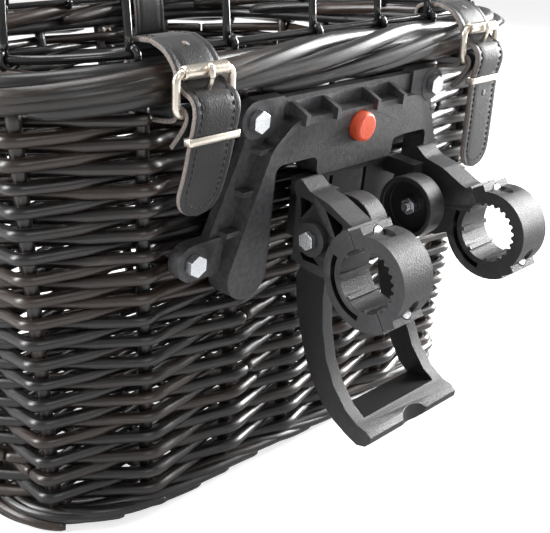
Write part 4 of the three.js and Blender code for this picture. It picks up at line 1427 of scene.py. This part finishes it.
    def frame_wire(self) -> bpy.types.Object:
        """Builds the buckle's frame: one bent wire with rounded corners.

        Returns:
            The frame, tied to the basket.
        """
        s = self.sizes
        corner = 0.0042
        high = math.hypot(s.roller_out - s.bar_out, s.roller_z - s.bar_z)
        turns = corner_turns(s.inner_width / 2 + s.bar, 0.0, high, corner, 8)
        across, up = (turns[:, :2] + corner * turns[:, 2:]).T
        lean = math.atan2(s.roller_out - s.bar_out, s.roller_z - s.bar_z)
        path = self.world(across, s.bar_out + up * math.sin(lean), s.bar_z + up * math.cos(lean))
        skin = Skin(SEED + 22)
        skin.tube(resample(path, 120, closed=True), s.bar * 1.02, sides=14, up=(0.0, self.way, 0.05),
                  closed=True)
        return self.metal_piece(skin, "buckle_frame", "basket")

    def roller(self) -> bpy.types.Object:
        """Builds the roller: a rolled tube with turned-in ends and a seam.

        Returns:
            The roller, tied to its body.
        """
        s = self.sizes
        half = s.roller_length / 2
        inner, lip, ease = 0.0023, 0.0006, 0.0016
        profile = [(-half + lip, inner), (-half, inner + 0.0004), (-half, s.roller - lip),
                   (-half + lip, s.roller), (-half + ease, s.roller), (-half / 2, s.roller), (0.0, s.roller)]
        profile += [(-x, r) for x, r in profile[-2::-1]]
        turn = np.linspace(0, math.tau, 40, endpoint=False)
        # the seam is a shallow groove along the tube
        dent = 1 - 0.05 * np.exp(-((np.angle(np.exp(1j * (turn - 2.2))) / 0.09) ** 2))
        grid = np.array([[(x, r * d * math.cos(a), r * d * math.sin(a)) for a, d in zip(turn, dent)]
                         for x, r in profile])
        grid = self.world(grid[..., 0], s.roller_out + grid[..., 1], s.roller_z + grid[..., 2])
        skin = Skin(SEED + 23)
        skin.sheet(grid if self.way > 0 else grid[:, ::-1], closed=True)
        return self.metal_piece(skin, "roller", f"{self.name}_roller_body")

    def prong(self) -> bpy.types.Object:
        """Builds the prong: a wire curled round the bar, with a flat tongue over the roller.

        Returns:
            The prong, tied to its body.
        """
        s = self.sizes
        over = s.roller_out + s.roller + 0.0016
        reach = 0.0031
        curl = [(s.bar_out + reach * math.sin(a), s.bar_z - reach * math.cos(a))
                for a in np.linspace(-2.6, 2.5, 14)]
        rest = [(s.bar_out + 0.0012, s.bar_z + 0.006), (s.bar_out + 0.0022, s.bar_z + 0.010),
                (over - 0.0012, s.roller_z - 0.0055), (over, s.roller_z - 0.002),
                (over - 0.0001, s.roller_z + 0.001), (over - 0.0012, s.roller_z + 0.0034)]
        tongue = [(over - 0.0002, s.roller_z - 0.0035), (over + 0.0001, s.roller_z),
                  (over - 0.0006, s.roller_z + 0.0028)]
        skin = Skin(SEED + 24)
        skin.tube(resample(self.world(0.0, *np.transpose(curl + rest)), 60), s.prong, sides=12, up=(1, 0, 0))
        skin.tube(resample(self.world(0.0, *np.transpose(tongue)), 8), 0.0017, sides=12, up=(1, 0, 0),
                  flat=0.72)
        return self.metal_piece(skin, "prong", f"{self.name}_prong_body")

    def keeper(self) -> bpy.types.Object:
        """Builds the keeper: a flat metal loop round the strap.

        Returns:
            The keeper, tied to the basket.
        """
        s = self.sizes
        room, corner, tall = 0.0018, 0.0014, 0.0017
        half = s.thick / 2 + room
        turns = corner_turns(s.width / 2 + room, -half, half, corner, 6)
        section = [(corner, tall), (corner, -tall), (corner - 0.0003, -tall - 0.0003),
                   (corner - 0.0008, -tall), (corner - 0.0008, tall), (corner - 0.0003, tall + 0.0003)]
        grid = np.array([[(cx + c * r, cy + n * r, h) for r, h in section] for cx, cy, c, n in turns])
        grid = self.world(grid[..., 0], s.keeper_out + grid[..., 1], s.keeper_z + grid[..., 2])
        skin = Skin(SEED + 25)
        skin.sheet(grid if self.way < 0 else grid[:, ::-1], closed=True)
        return self.metal_piece(skin, "keeper", "basket")

    def build(self) -> list[bpy.types.Object]:
        """Builds the belt.

        Returns:
            Its pieces.
        """
        s = self.sizes
        outer, inner = Band(self.outer_route()), Band(self.inner_route())
        if self.end == "back":
            # on this side the outer piece starts at the ring, so that the hole over the rim is in it
            over, low_holes, high_holes = s.crest, (s.first_hole, s.low_hole), ()
            if self.side == "left":
                low_holes = (s.first_hole,)
        else:
            over, low_holes, high_holes = 0.0, (), (inner.length - 0.008,)
        low = self.strap(f"{self.name}_strap_outer", outer, s.tip, (0.022 + over, outer.length), low_holes)
        fold = self.strap(f"{self.name}_strap_chape", Band(self.chape_route()), 0.0, (0.003, 0.009))
        merge(low, fold, None)
        join_frame(low, "basket", Slot.STRAP, f"{self.name}_strap")
        high = self.strap(f"{self.name}_strap_inner", inner, 0.0, (0.066, inner.length - 0.003), high_holes)
        join_frame(high, "basket", Slot.STRAP)
        if self.end == "front":
            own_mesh(high)
        return [low, high, self.frame_wire(), self.roller(), self.prong(), self.keeper()]


def corner_turns(half: float, low: float, high: float, corner: float, steps: int) -> np.ndarray:
    """Walks round the four rounded corners of a box.

    Args:
        half: half the box's width.
        low: its lower edge.
        high: its upper edge.
        corner: the corners' radius.
        steps: how many points each corner has.

    Returns:
        A row for each point: the corner's centre, and the cosine and sine of the turn.
    """
    right, top, bottom = half - corner, high - corner, low + corner
    rows = []
    for quarter, centre in enumerate(((right, top), (-right, top), (-right, bottom), (right, bottom))):
        for turn in np.linspace(quarter, quarter + 1, steps) * (math.pi / 2):
            rows.append((*centre, math.cos(turn), math.sin(turn)))
    return np.array(rows)


def resample(path: np.ndarray, count: int, closed: bool = False) -> np.ndarray:
    """Evenly spaced points along a line.

    Args:
        path: the line's points.
        count: how many points to give.
        closed: whether the line is a ring.

    Returns:
        The points.
    """
    line = np.concatenate([path, path[:1]]) if closed else path
    walked = np.concatenate([[0.0], np.cumsum(np.linalg.norm(np.diff(line, axis=0), axis=1))])
    at = np.linspace(0.0, walked[-1], count, endpoint=not closed)
    return np.stack([np.interp(at, walked, line[:, axis]) for axis in range(3)], axis=-1)


def merge(keep: bpy.types.Object, other: bpy.types.Object, mark: int | None) -> None:
    """Moves another object's faces into a piece.

    Args:
        keep: the piece that stays.
        other: the object that is taken in.
        mark: material slot for the faces taken in, or None to keep their own.
    """
    joined = bmesh.new()
    joined.from_mesh(keep.data)
    first = len(joined.faces)
    joined.from_mesh(other.data)
    joined.faces.ensure_lookup_table()
    if mark is not None:
        for face in joined.faces[first:]:
            face.material_index = mark
    joined.to_mesh(keep.data)
    joined.free()
    bpy.data.objects.remove(other)


@dataclass(frozen=True)
class Moulding:
    """A part taken from the model with its edges rounded."""

    node: str
    body: str
    slot: Slot
    bevel: float
    segments: int = 3
    angle: float = 32.0
    weld: float = 0.00001
    flat: float = 0.6

    def build(self, material: bpy.types.Material) -> bpy.types.Object:
        """Copies the node's shape, joins its flat faces and rounds its edges.

        Args:
            material: the part's material.

        Returns:
            The piece, tied to its body.
        """
        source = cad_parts[self.node]
        shape = bmesh.new()
        shape.from_mesh(source.data)
        shape.transform(source.matrix_world)
        bmesh.ops.remove_doubles(shape, verts=shape.verts, dist=self.weld)
        bmesh.ops.dissolve_limit(
            shape, angle_limit=math.radians(self.flat), verts=shape.verts, edges=shape.edges)
        mesh = bpy.data.meshes.new(f"{self.node}_look")
        shape.to_mesh(mesh)
        shape.free()
        mesh.shade_smooth()
        mesh.set_sharp_from_angle(angle=math.radians(self.angle))
        mesh.materials.append(material)
        piece = add_object(f"{self.node}_look", mesh)
        rounding = piece.modifiers.new("rounding", "BEVEL")
        rounding.width = self.bevel
        rounding.segments = self.segments
        rounding.limit_method = "ANGLE"
        rounding.angle_limit = math.radians(self.angle)
        rounding.use_clamp_overlap = True
        rounding.miter_outer = "MITER_ARC"
        rounding.harden_normals = True
        return join_frame(piece, self.body, self.slot, self.node)


@dataclass
class Bracket:
    """The handlebar bracket: carrier, arms, hubs, clamp caps, hoop stay and their bolts."""

    plastic: bpy.types.Material
    zinc: bpy.types.Material

    def build(self) -> list[bpy.types.Object]:
        """Builds the bracket's pieces.

        Returns:
            The pieces.
        """
        pieces = [
            Moulding("carrier_body", "bracket", Slot.PLASTIC, 0.0006).build(self.plastic),
            Moulding("hoop_stay", "hoop", Slot.PLASTIC, 0.0008).build(self.plastic),
        ]
        for side in ("left", "right"):
            pieces += [
                Moulding(f"{side}_arm", "bracket", Slot.PLASTIC, 0.0006).build(self.plastic),
                Moulding(f"{side}_hub_disc", "bracket", Slot.PLASTIC, 0.0006).build(self.plastic),
                Moulding(f"{side}_clamp_cap", f"{side}_cap", Slot.PLASTIC, 0.0004).build(self.plastic),
                Moulding(f"{side}_hub_bolt", "bracket", Slot.ZINC, 0.0003).build(self.zinc),
                Moulding(f"{side}_hub_nut", "bracket", Slot.ZINC, 0.0003).build(self.zinc),
                Moulding(f"{side}_upper_screw", f"{side}_cap", Slot.ZINC, 0.0002).build(self.zinc),
                Moulding(f"{side}_lower_screw", f"{side}_cap", Slot.ZINC, 0.0002).build(self.zinc),
            ]
        return pieces


@dataclass
class AdapterPlate:
    """The plate on the wall with its bolts, washers, nuts and the release button."""

    plastic: bpy.types.Material
    button: bpy.types.Material
    zinc: bpy.types.Material

    def build(self) -> list[bpy.types.Object]:
        """Builds the plate's pieces.

        Returns:
            The pieces.
        """
        pieces = [
            Moulding("adapter_plate", "basket", Slot.PLASTIC, 0.0007).build(self.plastic),
            Moulding("release_button", "button", Slot.BUTTON, 0.0009).build(self.button),
        ]
        for corner in ("upper_left", "lower_left", "upper_right", "lower_right"):
            for part, bevel in (("bolt", 0.0003), ("washer", 0.0002), ("nut", 0.0003)):
                pieces.append(Moulding(f"plate_{part}_{corner}", "basket", Slot.ZINC, bevel).build(self.zinc))
        return pieces


@dataclass
class Studio:
    """White floor, soft lamps and a pale surround."""

    floor_half: float = 6.0
    floor_glow: float = 0.72
    ambient: float = 0.16
    glossy: float = 0.36

    def floor(self) -> None:
        """Lays the floor."""
        mesh = bpy.data.meshes.new("floor")
        h = self.floor_half
        mesh.from_pydata([(-h, -h, 0), (h, -h, 0), (h, h, 0), (-h, h, 0)], [], [(0, 1, 2, 3)])
        s = Look("white_floor", {})
        noise = s.add("ShaderNodeTexNoise", {"Scale": 3.0, "Detail": 2.0})
        colour = s.ramp(noise.outputs["Fac"], [(0.3, (0.66, 0.66, 0.66)), (0.7, (0.70, 0.70, 0.70))])
        seen = s.add("ShaderNodeLightPath").outputs["Is Camera Ray"]
        s.fill(s.surface, Base_Color=colour, Roughness=0.9, Specular_IOR_Level=0.0,
               Emission_Color=(1.0, 1.0, 1.0, 1.0),
               Emission_Strength=s.math("MULTIPLY", seen, self.floor_glow))
        mesh.materials.append(s.material)
        floor = add_object("floor", mesh)

    def lamp(self, name: str, place: Point, target: Point, size: float, power: float,
             tall: float = 1.0) -> None:
        """Adds a soft lamp that looks at a target.

        Args:
            name: the lamp's name.
            place: where it stands.
            target: where it points.
            size: its width.
            power: its power in watts.
            tall: its height as a share of its width.
        """
        light = bpy.data.lights.new(name, "AREA")
        light.shape = "RECTANGLE"
        light.size = size
        light.size_y = size * tall
        light.energy = power
        lamp = add_object(name, light)
        lamp.location = place
        lamp.rotation_euler = (Vector(target) - Vector(place)).to_track_quat("-Z", "Y").to_euler()

    def build(self) -> None:
        """Sets the studio up."""
        self.floor()
        middle = (0.0, 0.0, 0.2)
        self.lamp("right", (1.95, -0.50, 0.60), middle, 0.9, 104.0, 1.3)
        self.lamp("left", (-1.7, 0.8, 1.1), middle, 0.8, 56.0, 2.0)
        self.lamp("front", (-0.55, -1.9, 1.3), middle, 1.1, 7.0, 0.7)
        self.lamp("top", (0.1, 0.2, 2.2), middle, 1.3, 26.0)
        world = bpy.data.worlds.new("pale")
        world.use_nodes = True
        s = Shader(world.node_tree)
        path = s.add("ShaderNodeLightPath")
        seen = s.range(path.outputs["Is Camera Ray"], self.ambient, 1.0)
        strength = s.math("MAXIMUM", seen, s.range(path.outputs["Is Glossy Ray"], 0.0, self.glossy))
        s.fill(world.node_tree.nodes["Background"], Color=(1.0, 1.0, 1.0, 1.0), Strength=strength)
        bpy.context.scene.world = world
        bpy.context.scene.view_settings.view_transform = "Standard"


@dataclass(frozen=True)
class PhotoCamera:
    """The photograph's view, fitted to the basket."""

    eye: Point = (-0.4680, -0.5472, 0.3296)
    turn: float = -46.811
    rise: float = 18.563
    roll: float = -0.900
    lens: float = 68.69

    def build(self) -> None:
        """Places the camera."""
        turn, rise, roll = (math.radians(v) for v in (self.turn, self.rise, self.roll))
        back = Vector((math.sin(turn) * math.cos(rise), -math.cos(turn) * math.cos(rise), math.sin(rise)))
        right = Vector((math.cos(turn), math.sin(turn), 0.0))
        up = back.cross(right)
        side = right * math.cos(roll) + up * math.sin(roll)
        top = up * math.cos(roll) - right * math.sin(roll)
        data = bpy.data.cameras.new("photo_camera")
        data.lens = self.lens
        data.sensor_width = 36.0
        data.clip_start = 0.01
        camera = add_object("photo_camera", data)
        camera.matrix_world = Matrix((
            (side.x, top.x, back.x, self.eye[0]),
            (side.y, top.y, back.y, self.eye[1]),
            (side.z, top.z, back.z, self.eye[2]),
            (0, 0, 0, 1),
        ))
        bpy.context.scene.camera = camera


def wall_holes() -> tuple[Hole, ...]:
    """Lists the hand holds and the belts' slots, which rods keep clear of.

    Returns:
        The holes.
    """
    holes = [Hole(side, middle=-0.042, half=0.052, low=0.2127, high=0.2420) for side in ("left", "right")]
    for side in ("back", "front"):
        for x in (BeltSizes.left_x, BeltSizes.right_x):
            holes.append(Hole(side, middle=x, half=0.0170, low=0.2315, high=0.2420))
    return tuple(holes)


def main() -> None:
    """Builds the basket and its studio."""
    logging.basicConfig(level=logging.INFO, format="%(name)s: %(message)s")
    effects = {"grain": grain_group(), "edge": edge_group()}
    willow = WillowFinish().make(effects)
    wire = WireFinish().make(effects)
    leather = LeatherFinish().make(effects)
    raw = FibreFinish("strap_cut_edge", scale=1600.0, detail=5.0, dark=(0.12, 0.10, 0.09),
                      light=(0.42, 0.37, 0.34), depth=0.0003, roughness=0.85).make(effects)
    thread = FibreFinish("sewing_thread", scale=2600.0, detail=2.0, dark=(0.008, 0.008, 0.009),
                         light=(0.05, 0.05, 0.053), depth=0.0002, roughness=0.6).make(effects)
    nickel = MetalFinish("champagne_nickel", light=(0.95, 0.88, 0.78), shade=(0.78, 0.70, 0.60),
                         roughness=0.27).make(effects)
    zinc = MetalFinish("bright_zinc", light=(0.90, 0.91, 0.93), shade=(0.66, 0.69, 0.73),
                       roughness=0.26).make(effects)
    plastic = PlasticFinish().make(effects)
    # the button's convex edges get a paler orange as a painted highlight
    button = PlasticFinish("button_plastic", low=(0.95, 0.100, 0.030), high=(1.0, 0.130, 0.045),
                           painted_edge_highlight=(0.95, 0.22, 0.12), roughness=0.34).make(effects)
    WickerWall(willow, holes=wall_holes()).build()
    rim = BorderShape(
        "plaited_rim", "rim_border", half=(0.2080, 0.1605), middle=0.2516, reach_out=0.0101, reach_up=0.0086,
        rods=20, rod=0.0048, run=0.31, start=math.radians(-62), turn=math.radians(215))
    foot = BorderShape(
        "plaited_foot", "foot_border", half=(0.1862, 0.1252), middle=0.0074, reach_out=0.0048,
        reach_up=0.0040, rods=44, rod=0.0033, run=0.11, start=math.radians(150), turn=math.radians(-190),
        step_ends=True)
    Border(willow, rim).build()
    Border(willow, foot).build()
    BasketBase(willow).build()
    CageLid(wire).build()
    for end in ("back", "front"):
        for side, tip, lean in (("left", 0.187, 0.014), ("right", 0.170, 0.006)):
            Belt(end, side, tip, lean, leather, raw, thread, nickel).build()
    AdapterPlate(plastic, button, zinc).build()
    Bracket(plastic, zinc).build()
    Studio().build()
    PhotoCamera().build()


if __name__ == "__main__":
    main()
